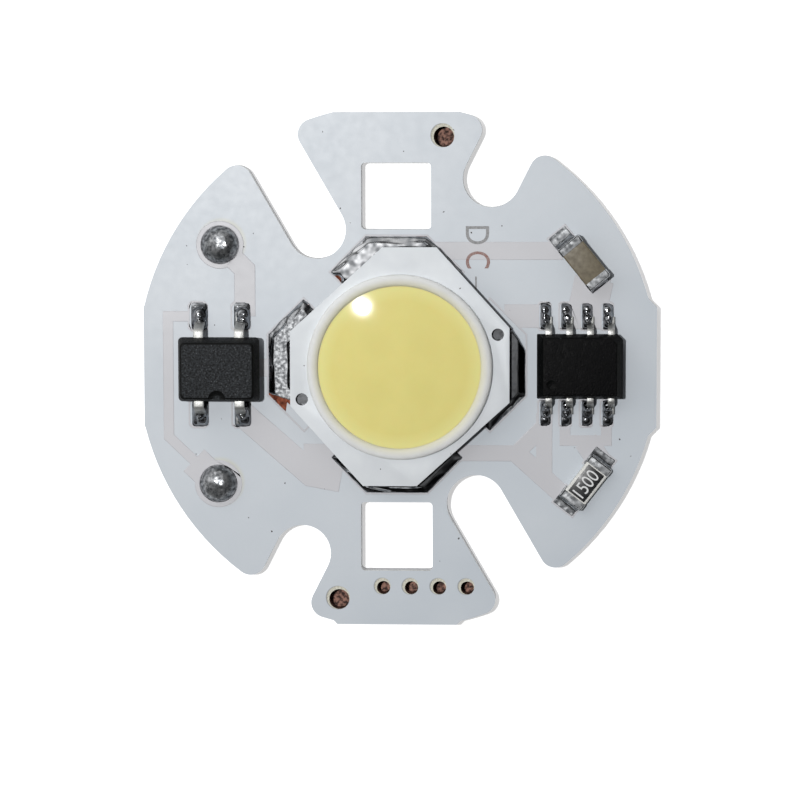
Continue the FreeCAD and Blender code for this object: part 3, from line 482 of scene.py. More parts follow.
def slumped(piece, grid, rounds, wave, waveSize, seed, swell=0.02, ring=None):
    # Freezes a piece like solder: remeshed, smoothed and slightly rippled, in its own box;
    # with ring, the ripples are drawn out round that middle
    low = [min(v.co[i] for v in piece.data.vertices) for i in range(3)]
    high = [max(v.co[i] for v in piece.data.vertices) for i in range(3)]
    addModifier(piece, "REMESH", mode="VOXEL", voxel_size=grid * mm)
    addModifier(piece, "SMOOTH", factor=0.5, iterations=rounds)
    settle(piece)
    offset = Vector((seed, seed * 1.7, seed * 0.3))
    wavesPerRadian = 5
    spots = [(v.co.copy(), v.normal.copy()) for v in piece.data.vertices]
    moved = []
    for spot, outward in spots:
        sample = spot / (waveSize * mm)
        if ring:
            away = Vector((spot.x - ring[0] * mm, spot.y - ring[1] * mm)) / (waveSize * mm)
            sample = Vector((away.length, math.atan2(away.y, away.x) * wavesPerRadian,
                             sample.z))
        ripple = noise.noise(sample + offset)
        shifted = spot + outward * (ripple * wave + swell) * mm
        moved += [min(max(shifted[i], low[i]), high[i]) for i in range(3)]
    piece.data.vertices.foreach_set("co", moved)
    piece.data.update()
    return piece


def melted(name, nodeName, trims=(), **ripples):
    # A CAD solder node, cut back by trim planes (spot, normal) and slumped
    work = welded(nodeName)
    for spot, normal in trims:
        bmesh.ops.bisect_plane(work, geom=work.verts[:] + work.edges[:] + work.faces[:],
                               plane_co=Vector(spot) * mm, plane_no=normal, clear_outer=True)
        bmesh.ops.holes_fill(work, edges=[e for e in work.edges if e.is_boundary])
    return slumped(pieceFrom(work, name), **ripples)


# Board: core, insulation, foil and mask keep their CAD shapes

copperNets = [name for name in sorted(nodes) if name.startswith("copper_")]
nodeFinishes = dict(base_plate="aluminium", dielectric="epoxy", solder_mask="maskInk",
                    plate="plateCoreAndShade", thermal_bond="paste", led_dies="die",
                    bond_wires="gold", plate_track_plus="copper", plate_track_minus="copper")
nodeFinishes.update({name: "copper" for name in copperNets})
for nodeName, finish in nodeFinishes.items():
    nodes[nodeName].data.materials.clear()
    nodes[nodeName].data.materials.append(finishes[finish])

# How far the ink stands up over the foil, how wide its sloping edge is, how far that edge's
# foot is over the mask, and how deep it goes under the mask's top
relief = dict(rise=0.011, slope=0.04, lift=0.0006, depth=0.02)


def levelled(name, nodeName, split, low, high):
    # A CAD layer with everything under split moved to low, the rest to high (millimetres)
    work = welded(nodeName)
    for vertex in work.verts:
        vertex.co.z = (low if vertex.co.z < split * mm else high) * mm
    bmesh.ops.remove_doubles(work, verts=work.verts, dist=weldGap * mm)
    bmesh.ops.dissolve_degenerate(work, edges=work.edges, dist=weldGap * mm)
    return pieceFrom(work, name)


def inkOverCopper(name, nodeName, punch):
    # The mask follows the etched foil under it: a very low plateau with sloping edges
    maskZ = board["maskZ"]
    foilMiddleZ = (board["foilZ"] + board["padZ"]) / 2
    piece = levelled(name, nodeName, foilMiddleZ, maskZ - relief["depth"],
                     maskZ + relief["rise"])
    addModifier(piece, "BOOLEAN", operation="INTERSECT", object=punch, solver="EXACT")
    settle(piece)
    work = bmesh.new()
    work.from_mesh(piece.data)
    bmesh.ops.remove_doubles(work, verts=work.verts, dist=0.002 * mm)
    halfway = (maskZ + relief["rise"] / 2) * mm
    tops = [f for f in work.faces if all(v.co.z > halfway for v in f.verts)]
    bmesh.ops.inset_region(work, faces=tops, thickness=relief["slope"] * mm, depth=0.0,
                           use_even_offset=False, use_boundary=True)
    kept = set(v for f in tops if f.is_valid for v in f.verts)
    for vertex in work.verts:
        if vertex not in kept and vertex.co.z > halfway:
            vertex.co.z = (maskZ + relief["lift"]) * mm
    work.to_mesh(piece.data)
    work.free()
    return piece


# The mask's own outline and openings, thick enough to cut every plateau
maskPunch = levelled("maskPunch", "solder_mask", 1.15, 0.9, 1.5)
for nodeName in copperNets:
    ridge = inkOverCopper("ink_over_" + nodeName.removeprefix("copper_"), nodeName, maskPunch)
    if ridge.data.polygons:
        place(ridge, "inkOverCopper", "white_mask", smoothTo=None)
    else:
        bpy.data.objects.remove(ridge)
bpy.data.objects.remove(maskPunch)
say("board dressed")


# Light source: plate, dam, phosphor and the solder banks round it

source = dict(damInner=4.95, damOuter=5.68, damHeight=0.5, damSteps=16, damFullness=0.4,
              fillTop=0.62, fillEdge=5.2, fillDrop=0.3, fillCurl=2.0, fillSteps=24,
              fillFloor=0.1, turns=160)


def damBead():
    crest = (source["damInner"] + source["damOuter"]) / 2
    half = (source["damOuter"] - source["damInner"]) / 2
    profile = []
    for step in range(source["damSteps"] + 1):
        angle = math.pi * step / source["damSteps"]
        rise = source["damHeight"] * math.sin(angle) ** source["damFullness"]
        profile.append((crest + half * math.cos(angle), board["plateTopZ"] + rise))
    return turnedShape("silicone_dam", profile, board["middle"], source["turns"])


def phosphorPool():
    # Poured just proud of the dam, its surface bending down to meet it
    top = board["plateTopZ"] + source["fillTop"]
    profile = []
    for step in range(source["fillSteps"] + 1):
        share = step / source["fillSteps"]
        profile.append((source["fillEdge"] * share,
                        top - source["fillDrop"] * share ** source["fillCurl"]))
    floorZ = board["plateTopZ"] + source["fillFloor"]
    profile += [(source["fillEdge"], floorZ), (0, floorZ)]
    return turnedShape("phosphor_pool", profile, board["middle"], source["turns"])


place(edged("plate_white_ink", "plate_mask", 0.02, 2), "plateInk", "white_mask", "plate_mask")
place(damBead(), "silicone", "dam_silicone", "dam_ring", smoothTo=50)
place(phosphorPool(), "phosphor", "phosphor", "phosphor", smoothTo=50)

# Each bank's finish, seed, wave height and the planes where the solder stopped short
banks = dict(
    north=("bankSolder", 1.0, 0.07, []),
    west=("frostedSolder", 2.0, 0.07, [((-7.825, -1.6, 0), (-0.291, -0.957, 0))]),
    south=("jointSolder", 3.0, 0.02, []),
    east=("jointSolder", 4.0, 0.02, [((7.1, 2.32, 0), (0.848, 0.531, 0)),
                                     ((7.1, 2.32, 0), (-0.707, 0.707, 0))]))
for side, (finish, seed, wave, trims) in banks.items():
    nodeName = "plate_solder_" + side
    bank = melted("solder_bank_" + side, nodeName, trims, grid=0.05, rounds=6, wave=wave,
                  waveSize=0.33, seed=seed, swell=0.05, ring=board["middle"])
    place(bank, finish, "solder", nodeName, smoothTo=60)
# The ink laps over the ring where no solder went
inkLaps = dict(west=[(-6.75, -2.2), (-6.85, -2.85), (-5.0, -4.65), (-4.5, -4.1)],
               east=[(7.1, 2.32), (7.985, 0.906), (8.4, 0.906), (8.4, 2.0), (5.6, 4.9),
                     (5.0, 4.45)])
for side, corners in inkLaps.items():
    place(prism("ink_lap_" + side, corners, board["foilZ"], board["maskZ"] + 0.002), "maskInk",
          "white_mask", smoothTo=None)
for side in ("plus", "minus"):
    plug = melted("hole_plug_" + side, "via_fill_" + side, grid=0.03, rounds=3, wave=0.04,
                  waveSize=0.2, seed=6.0)
    place(plug, "jointSolder", "solder", "via_fill_" + side, smoothTo=60)
say("light source dressed")


# Parts that both packages share: a moulded body, leads in rows, ink laps and solder mounds

def padX(part, k):
    # How far pad k, counted from the left, lies from the middle of its row
    return part["padPitch"] * (k - (part["count"] - 1) / 2)


def padLaps(name, part, side):
    # The mask's film window is narrower than the copper pad: ink strips along both its sides
    lap = part["laps"]
    size = (lap["strip"], lap["far"] - lap["near"], 0.04)
    y = part["y"] + side * (lap["near"] + lap["far"]) / 2
    z = board["maskZ"] + 0.003 - size[2] / 2
    work = bmesh.new()
    for k in range(part["count"]):
        for edge in (-1, 1):
            x = lap["x"] + padX(part, k) + edge * lap["reach"]
            bmesh.ops.create_cube(work, size=1.0, matrix=Matrix.LocRotScale(
                Vector((x, y, z)) * mm, None, Vector(size) * mm))
    place(pieceFrom(work, name), "maskInk", "white_mask", smoothTo=None)


# How finely a mound is drawn, how square its outline is, how much its humps vary and how
# often a millimetre, how steeply it ends, and how far its rim stands over the pad
moundLook = dict(rings=22, turns=44, squareness=8, wobble=0.25, wobblePerMm=1.5, steepness=6,
                 lift=0.02)


def solderMounds(name, part, side, replaced):
    # One heap of solder a lead, hiding the foot: a low skirt to the pad's edge, with humps
    look = part["upperMound"] if side > 0 else part["lowerMound"]
    power = moundLook["squareness"]
    middleY = part["y"] + side * look["offsetY"]
    work = bmesh.new()

    def topPoint(k, share, angle):
        # A rounded rectangle, drawn as a superellipse
        cx, cy = math.cos(angle), math.sin(angle)
        stretch = (abs(cx) ** power + abs(cy) ** power) ** (-1 / power)
        dx = look["halfX"] * share * cx * stretch
        dy = look["halfY"] * share * cy * stretch
        rise = look["skirt"] * (1 - share ** 3) ** 0.5
        sample = Vector((dx * moundLook["wobblePerMm"] + k * 5, dy * moundLook["wobblePerMm"],
                         side))
        wobble = 1 + moundLook["wobble"] * noise.noise(sample)
        for humpX, humpY, radius, height in look["humps"]:
            gap = math.hypot(dx - humpX, dy - side * humpY) / radius
            rise += height * max(0.0, 1 - gap ** 3) ** 1.3 * wobble
        rise *= min(1.0, (1 - share) * moundLook["steepness"])
        return point(work, part["x"] + padX(part, k) + look["offsetX"] + dx, middleY + dy,
                     board["padZ"] + moundLook["lift"] + rise)

    for k in range(part["count"]):
        rings = [[topPoint(k, 0, 0)]]
        for ring in range(1, moundLook["rings"] + 1):
            rings.append([topPoint(k, ring / moundLook["rings"],
                                   2 * math.pi * turn / moundLook["turns"])
                          for turn in range(moundLook["turns"])])
        heap(work, rings, board["padZ"])
    place(pieceFrom(work, name, turnOut=True), "jointSolder", "solder", replaced, smoothTo=70)


def mouldedBody(name, part):
    # Moulded package: drafted both ways from the parting line, corners and top edge rounded
    upper = part["height"] - part["parting"]
    edge = part["edge"]
    edgeSteps, cornerSteps = 4, 6
    # Height over the floor, share of the draft and inset of each level
    levels = [(0.0, part["parting"] / upper, 0.0), (part["parting"], 0.0, 0.0)]
    for step in range(edgeSteps + 1):
        angle = math.pi / 2 * step / edgeSteps
        rise = upper - edge + edge * math.sin(angle)
        levels.append((part["parting"] + rise, rise / upper, edge * (1 - math.cos(angle))))
    work = bmesh.new()
    rings = []
    for z, share, inset in levels:
        halfX = part["length"] / 2 - part["endDraft"] * share - inset
        halfY = part["bodyWidth"] / 2 - part["sideDraft"] * share - inset
        ring = []
        for corner, (signX, signY) in enumerate([(1, 1), (-1, 1), (-1, -1), (1, -1)]):
            chamfer = part["chamfer"] if corner == 0 else 0
            radius = chamfer or part["corner"]
            for step in range(cornerSteps + 1):
                turn = math.pi / 2 * (corner + step / cornerSteps)
                dx, dy = abs(math.cos(turn)), abs(math.sin(turn))
                if chamfer:
                    dx, dy = 1 - step / cornerSteps, step / cornerSteps
                ring.append(point(work, part["x"] + signX * (halfX - radius + radius * dx),
                                  part["y"] + signY * (halfY - radius + radius * dy),
                                  part["floorZ"] + z))
        rings.append(ring)
    skin(work, rings)
    piece = pieceFrom(work, name, turnOut=True)
    # The round moulded mark is cut into the top, with a narrower floor
    mark = part["mark"]
    top = part["floorZ"] + part["height"]
    floorZ = top - mark["depth"]
    cutter = turnedShape("markCutter", [(0, floorZ), (mark["radius"] * 0.9, floorZ),
                                        (mark["radius"], top - mark["depth"] * 0.8),
                                        (mark["radius"], top + 1), (0, top + 1)],
                         mark["spot"], 48)
    addModifier(piece, "BOOLEAN", operation="DIFFERENCE", object=cutter, solver="EXACT")
    settle(piece)
    bpy.data.objects.remove(cutter)
    return piece


def startTree(name, inputs, result):
    # A Geometry Nodes tree with its named inputs and one output; returns it and its inputs
    tree = bpy.data.node_groups.new(name, "GeometryNodeTree")
    for label, kind, value in inputs:
        socket = tree.interface.new_socket(label, in_out="INPUT",
                                           socket_type="NodeSocket" + kind)
        if value is not None:
            socket.default_value = value
    tree.interface.new_socket(result, in_out="OUTPUT", socket_type="NodeSocketGeometry")
    return tree, addNode(tree, "NodeGroupInput").outputs


def closeTree(tree, copies, finish):
    # Makes the copies real, gives them their finish and puts them out
    real = addNode(tree, "GeometryNodeRealizeInstances", {"Geometry": copies.outputs[0]})
    coated = addNode(tree, "GeometryNodeSetMaterial",
                     {"Geometry": real.outputs[0], "Material": finish})
    addNode(tree, "NodeGroupOutput", {0: coated.outputs[0]})
    return tree


def runTree(piece, tree, **values):
    # Puts a tree on a piece and fills its inputs by their names
    modifier = piece.modifiers.new(tree.name, "NODES")
    modifier.node_group = tree
    for item in tree.interface.items_tree:
        if item.item_type == "SOCKET" and item.in_out == "INPUT" and item.name in values:
            modifier[item.identifier] = values[item.name]


def leadTree():
    # One bar swept along the gull-wing line and repeated along its row
    tree, given = startTree("leadRow", [
        ("Line", "Geometry", None), ("Width", "Float", 0.6 * mm),
        ("Thickness", "Float", 0.22 * mm), ("Bend", "Float", 0.2 * mm), ("Count", "Int", 2),
        ("Pitch", "Vector", (2.5 * mm, 0, 0)), ("Finish", "Material", None)], "Leads")
    path = addNode(tree, "GeometryNodeMeshToCurve", {"Mesh": given["Line"]})
    soft = addNode(tree, "GeometryNodeFilletCurve",
                   {"Curve": path.outputs[0], "Radius": given["Bend"], "Count": 6}, mode="POLY")
    level = addNode(tree, "GeometryNodeSetCurveNormal", {"Curve": soft.outputs[0]}, mode="Z_UP")
    section = addNode(tree, "GeometryNodeCurvePrimitiveQuadrilateral",
                      {"Width": given["Width"], "Height": given["Thickness"]})
    bar = addNode(tree, "GeometryNodeCurveToMesh",
                  {"Curve": level.outputs[0], "Profile Curve": section.outputs[0],
                   "Fill Caps": True})
    row = addNode(tree, "GeometryNodeMeshLine", {"Count": given["Count"],
                                                 "Offset": given["Pitch"]}, mode="OFFSET")
    copies = addNode(tree, "GeometryNodeInstanceOnPoints",
                     {"Points": row.outputs[0], "Instance": bar.outputs[0]})
    return closeTree(tree, copies, given["Finish"])


leadRowTree = leadTree()
# How far a lead starts inside the body, its foot over the pad, its inner bend and its edges
leadLook = dict(inside=0.3, overPad=0.04, bend=0.12, edge=0.03)


def leadRow(name, part, side, replaced):
    # The first lead's centre line, then the tree sweeps and repeats it
    x = part["x"] - part["pitch"] * (part["count"] - 1) / 2
    out = part["bodyWidth"] / 2
    toe = part["span"] / 2
    level = board["padZ"] + leadLook["overPad"] + part["thickness"] / 2
    stops = [(out - leadLook["inside"], part["exitZ"]), (out + part["shoulder"], part["exitZ"]),
             (toe - part["foot"], level), (toe, level)]
    mesh = bpy.data.meshes.new(name)
    mesh.from_pydata([(x * mm, (part["y"] + side * along) * mm, z * mm) for along, z in stops],
                     [(0, 1), (1, 2), (2, 3)], [])
    piece = newObject(name, mesh)
    runTree(piece, leadRowTree, Width=part["leadWidth"] * mm, Thickness=part["thickness"] * mm,
            Bend=(leadLook["bend"] + part["thickness"] / 2) * mm, Count=part["count"],
            Pitch=(part["pitch"] * mm, 0.0, 0.0), Finish=finishes["tin"])
    addModifier(piece, "BEVEL", width=leadLook["edge"] * mm, segments=2, limit_method="ANGLE",
                angle_limit=math.radians(50))
    place(settle(piece), "tin", "tinned_lead", *replaced, smoothTo=40)


def dressPackage(scenePart, cadPart, part, bodyName, finish, leadEnds):
    # Body, then leads, joints and laps of both rows
    place(mouldedBody(bodyName, part), finish, "mould_compound", cadPart + "_body", smoothTo=40)
    for row, side in [("upper", 1), ("lower", -1)]:
        leadRow(scenePart + "_leads_" + row, part, side,
                [cadPart + "_lead_" + row + "_" + end for end in leadEnds])
        solderMounds(scenePart + "_joints_" + row, part, side, cadPart + "_solder_" + row)
        padLaps(scenePart + "_laps_" + row, part, side)


# In millimetres; a hump is its x and y from the mound's middle, its radius and its height
rectifier = dict(x=-10.83, y=-0.06, floorZ=1.26, length=5.0, bodyWidth=3.95, height=2.45,
                 parting=1.1, endDraft=0.26, sideDraft=0.26, corner=0.26, chamfer=0,
                 edge=0.1, mark=dict(spot=(-10.83, -1.775), radius=0.53, depth=0.18),
                 exitZ=2.36, pitch=2.5, count=2, span=6.9, leadWidth=0.6, thickness=0.22,
                 shoulder=0.42, foot=0.62,
                 padPitch=2.64, laps=dict(x=-10.91, reach=0.45, strip=0.16, near=2.05, far=3.93),
                 upperMound=dict(offsetX=0.02, offsetY=3.17, halfX=0.53, halfY=0.86, skirt=0.12,
                                 humps=[(0.04, 0.12, 0.52, 0.3), (0.04, -0.42, 0.5, 0.3)]),
                 lowerMound=dict(offsetX=0.02, offsetY=2.81, halfX=0.53, halfY=0.86, skirt=0.15,
                                 humps=[(-0.06, -0.05, 0.46, 0.34), (0.16, 0.38, 0.4, 0.24),
                                        (-0.2, 0.5, 0.3, 0.14)]))
driver = dict(x=11.26, y=0.14, floorZ=1.26, length=5.25, bodyWidth=3.97, height=1.45,
              parting=0.72, endDraft=0.38, sideDraft=0.23, corner=0.08, chamfer=0.35,
              edge=0.04, mark=dict(spot=(9.535, -0.945), radius=0.3, depth=0.08),
              exitZ=1.98, pitch=1.27, count=4, span=6.0, leadWidth=0.42, thickness=0.2,
              shoulder=0.24, foot=0.5,
              padPitch=1.27, laps=dict(x=10.99, reach=0.285, strip=0.11, near=2.15, far=3.82),
              upperMound=dict(offsetX=-0.18, offsetY=3.02, halfX=0.35, halfY=0.8, skirt=0.05,
                              humps=[(-0.08, 0.4, 0.4, 0.34), (0.0, -0.12, 0.4, 0.36),
                                     (0.0, -0.52, 0.36, 0.3)]),
              lowerMound=dict(offsetX=-0.18, offsetY=2.95, halfX=0.35, halfY=0.8, skirt=0.05,
                              humps=[(-0.04, 0.42, 0.38, 0.12), (0.04, -0.1, 0.4, 0.3),
                                     (0.0, -0.5, 0.36, 0.3)]))
dressPackage("rectifier", "bridge", rectifier, "rectifier_body", "rectifierMould",
             ["left", "right"])
dressPackage("driver", "driver", driver, "driver_package", "driverMould",
             ["1", "2", "3", "4"])
say("packages dressed")


# Chip parts

place(edged("capacitor_block", "capacitor_body", 0.05, 3), "capacitor", "capacitor_ceramic",
      "capacitor_body")
place(edged("resistor_block", "resistor_body", 0.03, 2), "alumina", "alumina", "resistor_body")
place(edged("resistor_glaze", "resistor_coat", 0.012, 3), "glaze", "resistor_glaze",
      "resistor_coat")
for chip in ("capacitor", "resistor"):
    for end, seed in [("a", 17.0), ("b", 19.0)]:
        place(edged(chip + "_end_" + end, chip + "_cap_" + end, 0.03, 3), "capTin",
              "tinned_lead", chip + "_cap_" + end)
        joint = melted(chip + "_joint_" + end, chip + "_solder_" + end, grid=0.03, rounds=3,
                       wave=0.03, waveSize=0.3, seed=seed)
        place(joint, "chipSolder", "solder", chip + "_solder_" + end, smoothTo=60)


# Solder domes for the mains wires

# Folds and finer wrinkles are each how many a millimetre and how high; the smooth summit lies
# under the CAD's by sunk, a wrinkle may pass it by crest, and the foot goes that far below
# the pad's face
domeLook = dict(rings=40, turns=96, folds=(1.3, 0.09), wrinkles=(4.5, 0.022), sunk=0.03,
                crest=0.02, foot=0.005)


def solderDome(name, nodeName, lean, seed):
    # A cap as wide as the CAD's and nearly as high, its summit pushed by lean, its skin
    # wrinkled
    look = domeLook
    low, high = [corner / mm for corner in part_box(nodeName)]
    middle, reach = (low + high) / 2, (high.x - low.x) / 2
    height = high.z - board["padZ"] - look["sunk"]
    sphere = (reach * reach + height * height) / (2 * height)
    work = bmesh.new()
    rings = []
    for ring in range(1, look["rings"] + 1):
        share = ring / look["rings"]
        rise = math.sqrt(sphere * sphere - (reach * share) ** 2) - (sphere - height)
        loop = []
        for turn in range(look["turns"]):
            angle = 2 * math.pi * turn / look["turns"]
            spot = Vector((math.cos(angle) * share * reach, math.sin(angle) * share * reach, 0))
            wave = noise.noise(spot * look["folds"][0] + Vector((seed, 0, 0)))
            wave *= look["folds"][1]
            fine = noise.noise(spot * look["wrinkles"][0] + Vector((0, seed, 0)))
            wave += fine * look["wrinkles"][1]
            spot += Vector(lean) * (1 - share * share)
            level = max(0.0, min(rise + wave * (1 - share ** 4), height + look["crest"]))
            loop.append(point(work, middle.x + spot.x, middle.y + spot.y,
                              board["padZ"] + level))
        rings.append(loop)
    tip = work.verts.new(sum((v.co for v in rings[0]), Vector()) / look["turns"])
    heap(work, [[tip]] + rings, board["padZ"] - look["foot"])
    place(pieceFrom(work, name, turnOut=True), "domeSolder", "solder", nodeName, smoothTo=70)


solderDome("mains_dome_upper", "mains_solder_upper", (0.22, 0.14, 0), 3.0)
solderDome("mains_dome_lower", "mains_solder_lower", (0.1, 0.12, 0), 8.0)
say("chips and domes dressed")


# Printed marks: the minus terminal's letters and the resistor's plain number

def printedText(name, text, corner, size, angle, z, thickness, ink, slot):
    # Text stretched to size, turned, and laid on the surface at corner (its lower left)
    curve = bpy.data.curves.new(name, "FONT")
    curve.body = text
    curve.extrude = 0.5
    curve.resolution_u = 6
    words = newObject(name, curve)
    bpy.context.view_layer.update()
    shown = words.evaluated_get(bpy.context.evaluated_depsgraph_get())
    mesh = bpy.data.meshes.new_from_object(shown)
    bpy.data.objects.remove(words)
    low = Vector([min(v.co[i] for v in mesh.vertices) for i in range(3)])
    high = Vector([max(v.co[i] for v in mesh.vertices) for i in range(3)])
    turn = Matrix.Rotation(math.radians(angle), 4, "Z")
    for vertex in mesh.vertices:
        share = [(vertex.co[i] - low[i]) / (high[i] - low[i]) for i in range(3)]
        flat = turn @ Vector((share[0] * size[0], share[1] * size[1], 0))
        vertex.co = ((corner[0] + flat.x) * mm, (corner[1] + flat.y) * mm,
                     (z + share[2] * thickness) * mm)
    place(newObject(name, mesh), ink, slot, smoothTo=None)


# Name, text, lower left corner, width and height, thickness and ink
boardMarks = [("mark_d", "D", (4.27, 8.66), (1.11, 1.42), 0.01, "greyInk"),
              ("mark_c", "C", (4.27, 7.12), (1.05, 1.48), 0.013, "rustInk"),
              ("mark_minus", "-", (4.84, 5.58), (0.86, 0.1), 0.008, "greyInk")]
for name, text, corner, size, thickness, ink in boardMarks:
    printedText(name, text, corner, size, -90, board["maskZ"] + 0.003, thickness, ink,
                "white_mask")
resistorNumber = dict(text="1500", middle=(11.67, -7.08), toCorner=(-0.88, -0.42), turn=52.5,
                      size=(1.72, 0.84), sunk=0.002, thickness=0.008)
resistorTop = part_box("resistor_coat")[1].z / mm
toCorner = Matrix.Rotation(math.radians(resistorNumber["turn"]), 2) @ Vector(
    resistorNumber["toCorner"])
printedText("resistor_number", resistorNumber["text"],
            Vector(resistorNumber["middle"]) + toCorner, resistorNumber["size"],
            resistorNumber["turn"], resistorTop - resistorNumber["sunk"],
            resistorNumber["thickness"], "whiteInk", "resistor_glaze")


# Dust and flux crumbs scattered on the board

def dustTree():
    tree, given = startTree("dust", [
        ("Surface", "Geometry", None), ("Density", "Float", 90000.0),
        ("Size", "Float", 0.05 * mm), ("Seed", "Int", 4), ("Finish", "Material", None)], "Dust")
    spots = addNode(tree, "GeometryNodeDistributePointsOnFaces",
                    {"Mesh": given["Surface"], "Density": given["Density"],
                     "Seed": given["Seed"]})
    crumb = addNode(tree, "GeometryNodeMeshIcoSphere", {"Radius": given["Size"],
                                                        "Subdivisions": 2})
    # Crumbs lie flat, longer than wide, turned any way
    lumps = addNode(tree, "FunctionNodeRandomValue",
                    {"Min": (0.3, 0.3, 0.12), "Max": (1.3, 0.9, 0.4), "Seed": given["Seed"]},
                    data_type="FLOAT_VECTOR")
    spin = addNode(tree, "FunctionNodeRandomValue",
                   {"Min": (0.0, 0.0, 0.0), "Max": (0.0, 0.0, 6.28), "Seed": given["Seed"]},
                   data_type="FLOAT_VECTOR")
    copies = addNode(tree, "GeometryNodeInstanceOnPoints",
                     {"Points": spots.outputs[0], "Instance": crumb.outputs[0],
                      "Rotation": spin.outputs[0], "Scale": lumps.outputs[0]})
    return closeTree(tree, copies, given["Finish"])


crumbTree = dustTree()


def dustOn(name, nodeName, level, density, size, seed):
    # Only faces that look up from above that level carry dust
    work = bmesh.new()
    work.from_mesh(nodes[nodeName].data)
    low = [f for f in work.faces if f.normal.z < 0.9 or f.calc_center_median().z < level * mm]
    bmesh.ops.delete(work, geom=low, context="FACES")
    piece = pieceFrom(work, name)
    runTree(piece, crumbTree, Density=density, Size=size * mm, Seed=seed,
            Finish=finishes["crumbs"])
    place(settle(piece), "crumbs", "white_mask", smoothTo=60)


# Crumbs a square metre, their radius in millimetres and the seed
dustOn("board_crumbs", "solder_mask", 1.155, 60000.0, 0.055, 4)
dustOn("plate_crumbs", "plate_mask", 2.2, 120000.0, 0.05, 9)
say("marks and dust laid")


# Floor, lights and camera

def floorSheet():
    # Pale paper just under the board; it glows a little. Under the drilled holes it carries
    # painted
    # shade: dark brown with paler patches, and its glow fades out there
    work = bmesh.new()
    bmesh.ops.create_grid(work, x_segments=8, y_segments=8, size=1.2)
    bmesh.ops.translate(work, verts=work.verts, vec=(0, 0, -0.02 * mm))
    floor = pieceFrom(work, "floor")
    material, tree, shader, where = startMaterial("whitePaperSweep", Roughness=0.9,
                                                  Emission_Color=(1, 1, 1, 1))
    under = largest(tree, [nearSpot(tree, where, (x, y), r, r + 0.3) for x, y, r in holeSpots])
    # Painted shade under the drilled holes: dark brown with paler patches
    floorHoleShade = paint(tree, "#3d2b26", (patches(tree, where, 0.22, 0.4, 0.62, 3.0), "#a87f70"))
    giveColour(tree, shader, "#fafafa", (patches(tree, where, 60.0), "#f6f6f6"), (under, floorHoleShade))
    glow = addNode(tree, "ShaderNodeMapRange", {"Value": under, "To Min": 0.5, "To Max": 0.0})
    tree.links.new(glow.outputs[0], shader.inputs["Emission Strength"])
    floor.data.materials.append(material)


floorSheet()

# The small lamp near the camera in metres and watts, then the tent: which way its dark gap
# and its bright side lie, and the cosines or heights between which each of them fades
studio = dict(keyPlace=(-0.0515, 0.0327, 0.295), keySize=(0.008, 0.01), keyPower=0.58,
              skyBright="#ffffff", skyDark="#0a0a0b", skyStrength=1.7,
              gapAt=(0.06, -0.14, 0.988), gapFrom=0.74, gapTo=0.84,
              brightAt=(-0.7, 0.7, 0.14), brightFrom=0.35, farSide=0.1,
              bandFrom=0.12, bandTo=0.45, horizon=0.04)


def areaLight(name, spot, size, power):
    lamp = bpy.data.lights.new(name, "AREA")
    lamp.shape = "RECTANGLE"
    lamp.size, lamp.size_y = size
    lamp.energy = power
    holder = newObject(name, lamp)
    holder.location = spot
    holder.rotation_euler = (-Vector(spot)).to_track_quat("-Z", "Y").to_euler()


areaLight("keySoftbox", studio["keyPlace"], studio["keySize"], studio["keyPower"])


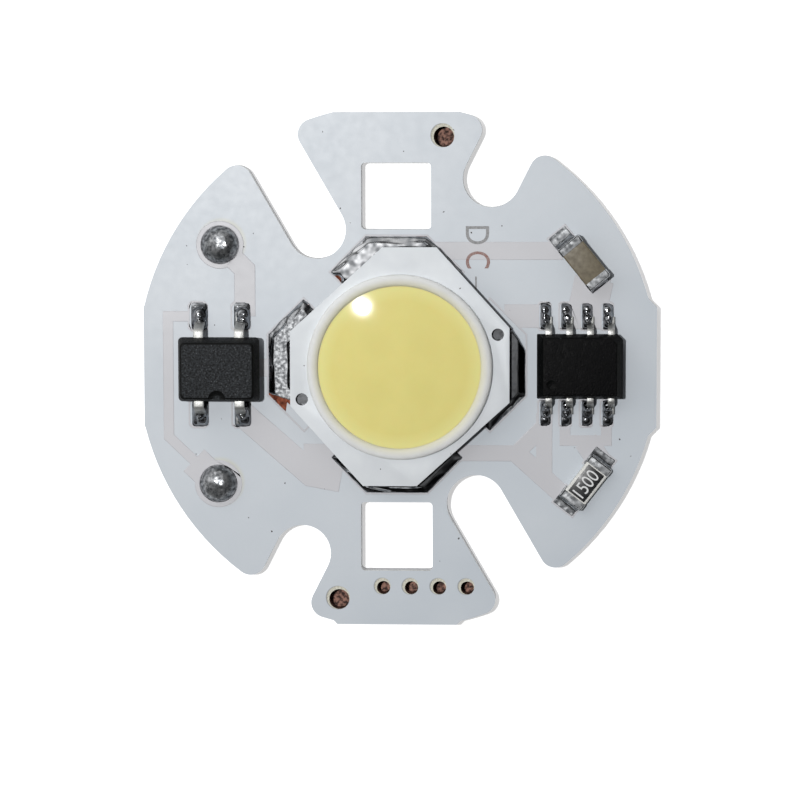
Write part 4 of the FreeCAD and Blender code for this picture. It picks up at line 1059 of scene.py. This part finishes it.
def sky():
    # A bright tent all round with a dark gap overhead, where the camera looks through
    world = bpy.data.worlds.new("studioSky")
    world.use_nodes = True
    tree = world.node_tree
    tree.nodes.clear()
    direction = addNode(tree, "ShaderNodeTexCoord").outputs["Generated"]
    toGap = addNode(tree, "ShaderNodeVectorMath", {0: direction, 1: studio["gapAt"]},
                    operation="DOT_PRODUCT")
    gap = addNode(tree, "ShaderNodeMapRange",
                  {"Value": toGap.outputs["Value"], "From Min": studio["gapFrom"],
                   "From Max": studio["gapTo"]})
    toBright = addNode(tree, "ShaderNodeVectorMath", {0: direction, 1: studio["brightAt"]},
                       operation="DOT_PRODUCT")
    sided = addNode(tree, "ShaderNodeMapRange",
                    {"Value": toBright.outputs["Value"], "From Min": studio["brightFrom"],
                     "From Max": 1.0, "To Min": studio["farSide"], "To Max": 1.0})
    height = addNode(tree, "ShaderNodeSeparateXYZ", {0: direction}).outputs["Z"]
    band = addNode(tree, "ShaderNodeMapRange",
                   {"Value": height, "From Min": studio["bandFrom"],
                    "From Max": studio["bandTo"], "To Min": studio["horizon"]})
    bright = addNode(tree, "ShaderNodeMath", {0: sided.outputs[0], 1: band.outputs[0]},
                     operation="MULTIPLY")
    colour = paint(tree, studio["skyDark"], (bright.outputs[0], studio["skyBright"]),
                   (gap.outputs[0], studio["skyDark"]))
    back = addNode(tree, "ShaderNodeBackground", {"Color": colour,
                                                  "Strength": studio["skyStrength"]})
    addNode(tree, "ShaderNodeOutputWorld", {"Surface": back.outputs[0]})
    bpy.context.scene.world = world


sky()
bpy.context.scene.view_settings.view_transform = "Standard"

# Where the camera stands and aims in millimetres, its lens and sensor in millimetres too, its
# roll in radians, and the nearest and farthest that it sees in metres
shot = dict(stand=(11.0, 17.0, 196.0), aim=(0.216, -2.03, 1.16), lens=143.43, sensor=36.0,
            roll=-0.00235, nearest=0.005, farthest=10.0)


def setCamera():
    camera = bpy.data.cameras.new("photoCamera")
    camera.lens = shot["lens"]
    camera.sensor_width = shot["sensor"]
    camera.clip_start = shot["nearest"]
    camera.clip_end = shot["farthest"]
    holder = newObject("photoCamera", camera)
    stand = Vector(shot["stand"]) * mm
    forward = (Vector(shot["aim"]) * mm - stand).normalized()
    right = forward.cross(Vector((0, 1, 0))).normalized()
    up = right.cross(forward)
    turnedRight = right * math.cos(shot["roll"]) + up * math.sin(shot["roll"])
    turnedUp = turnedRight.cross(forward)
    turn = Matrix((turnedRight, turnedUp, -forward)).transposed().to_4x4()
    holder.matrix_world = Matrix.Translation(stand) @ turn
    bpy.context.scene.camera = holder


setCamera()
say("studio set")
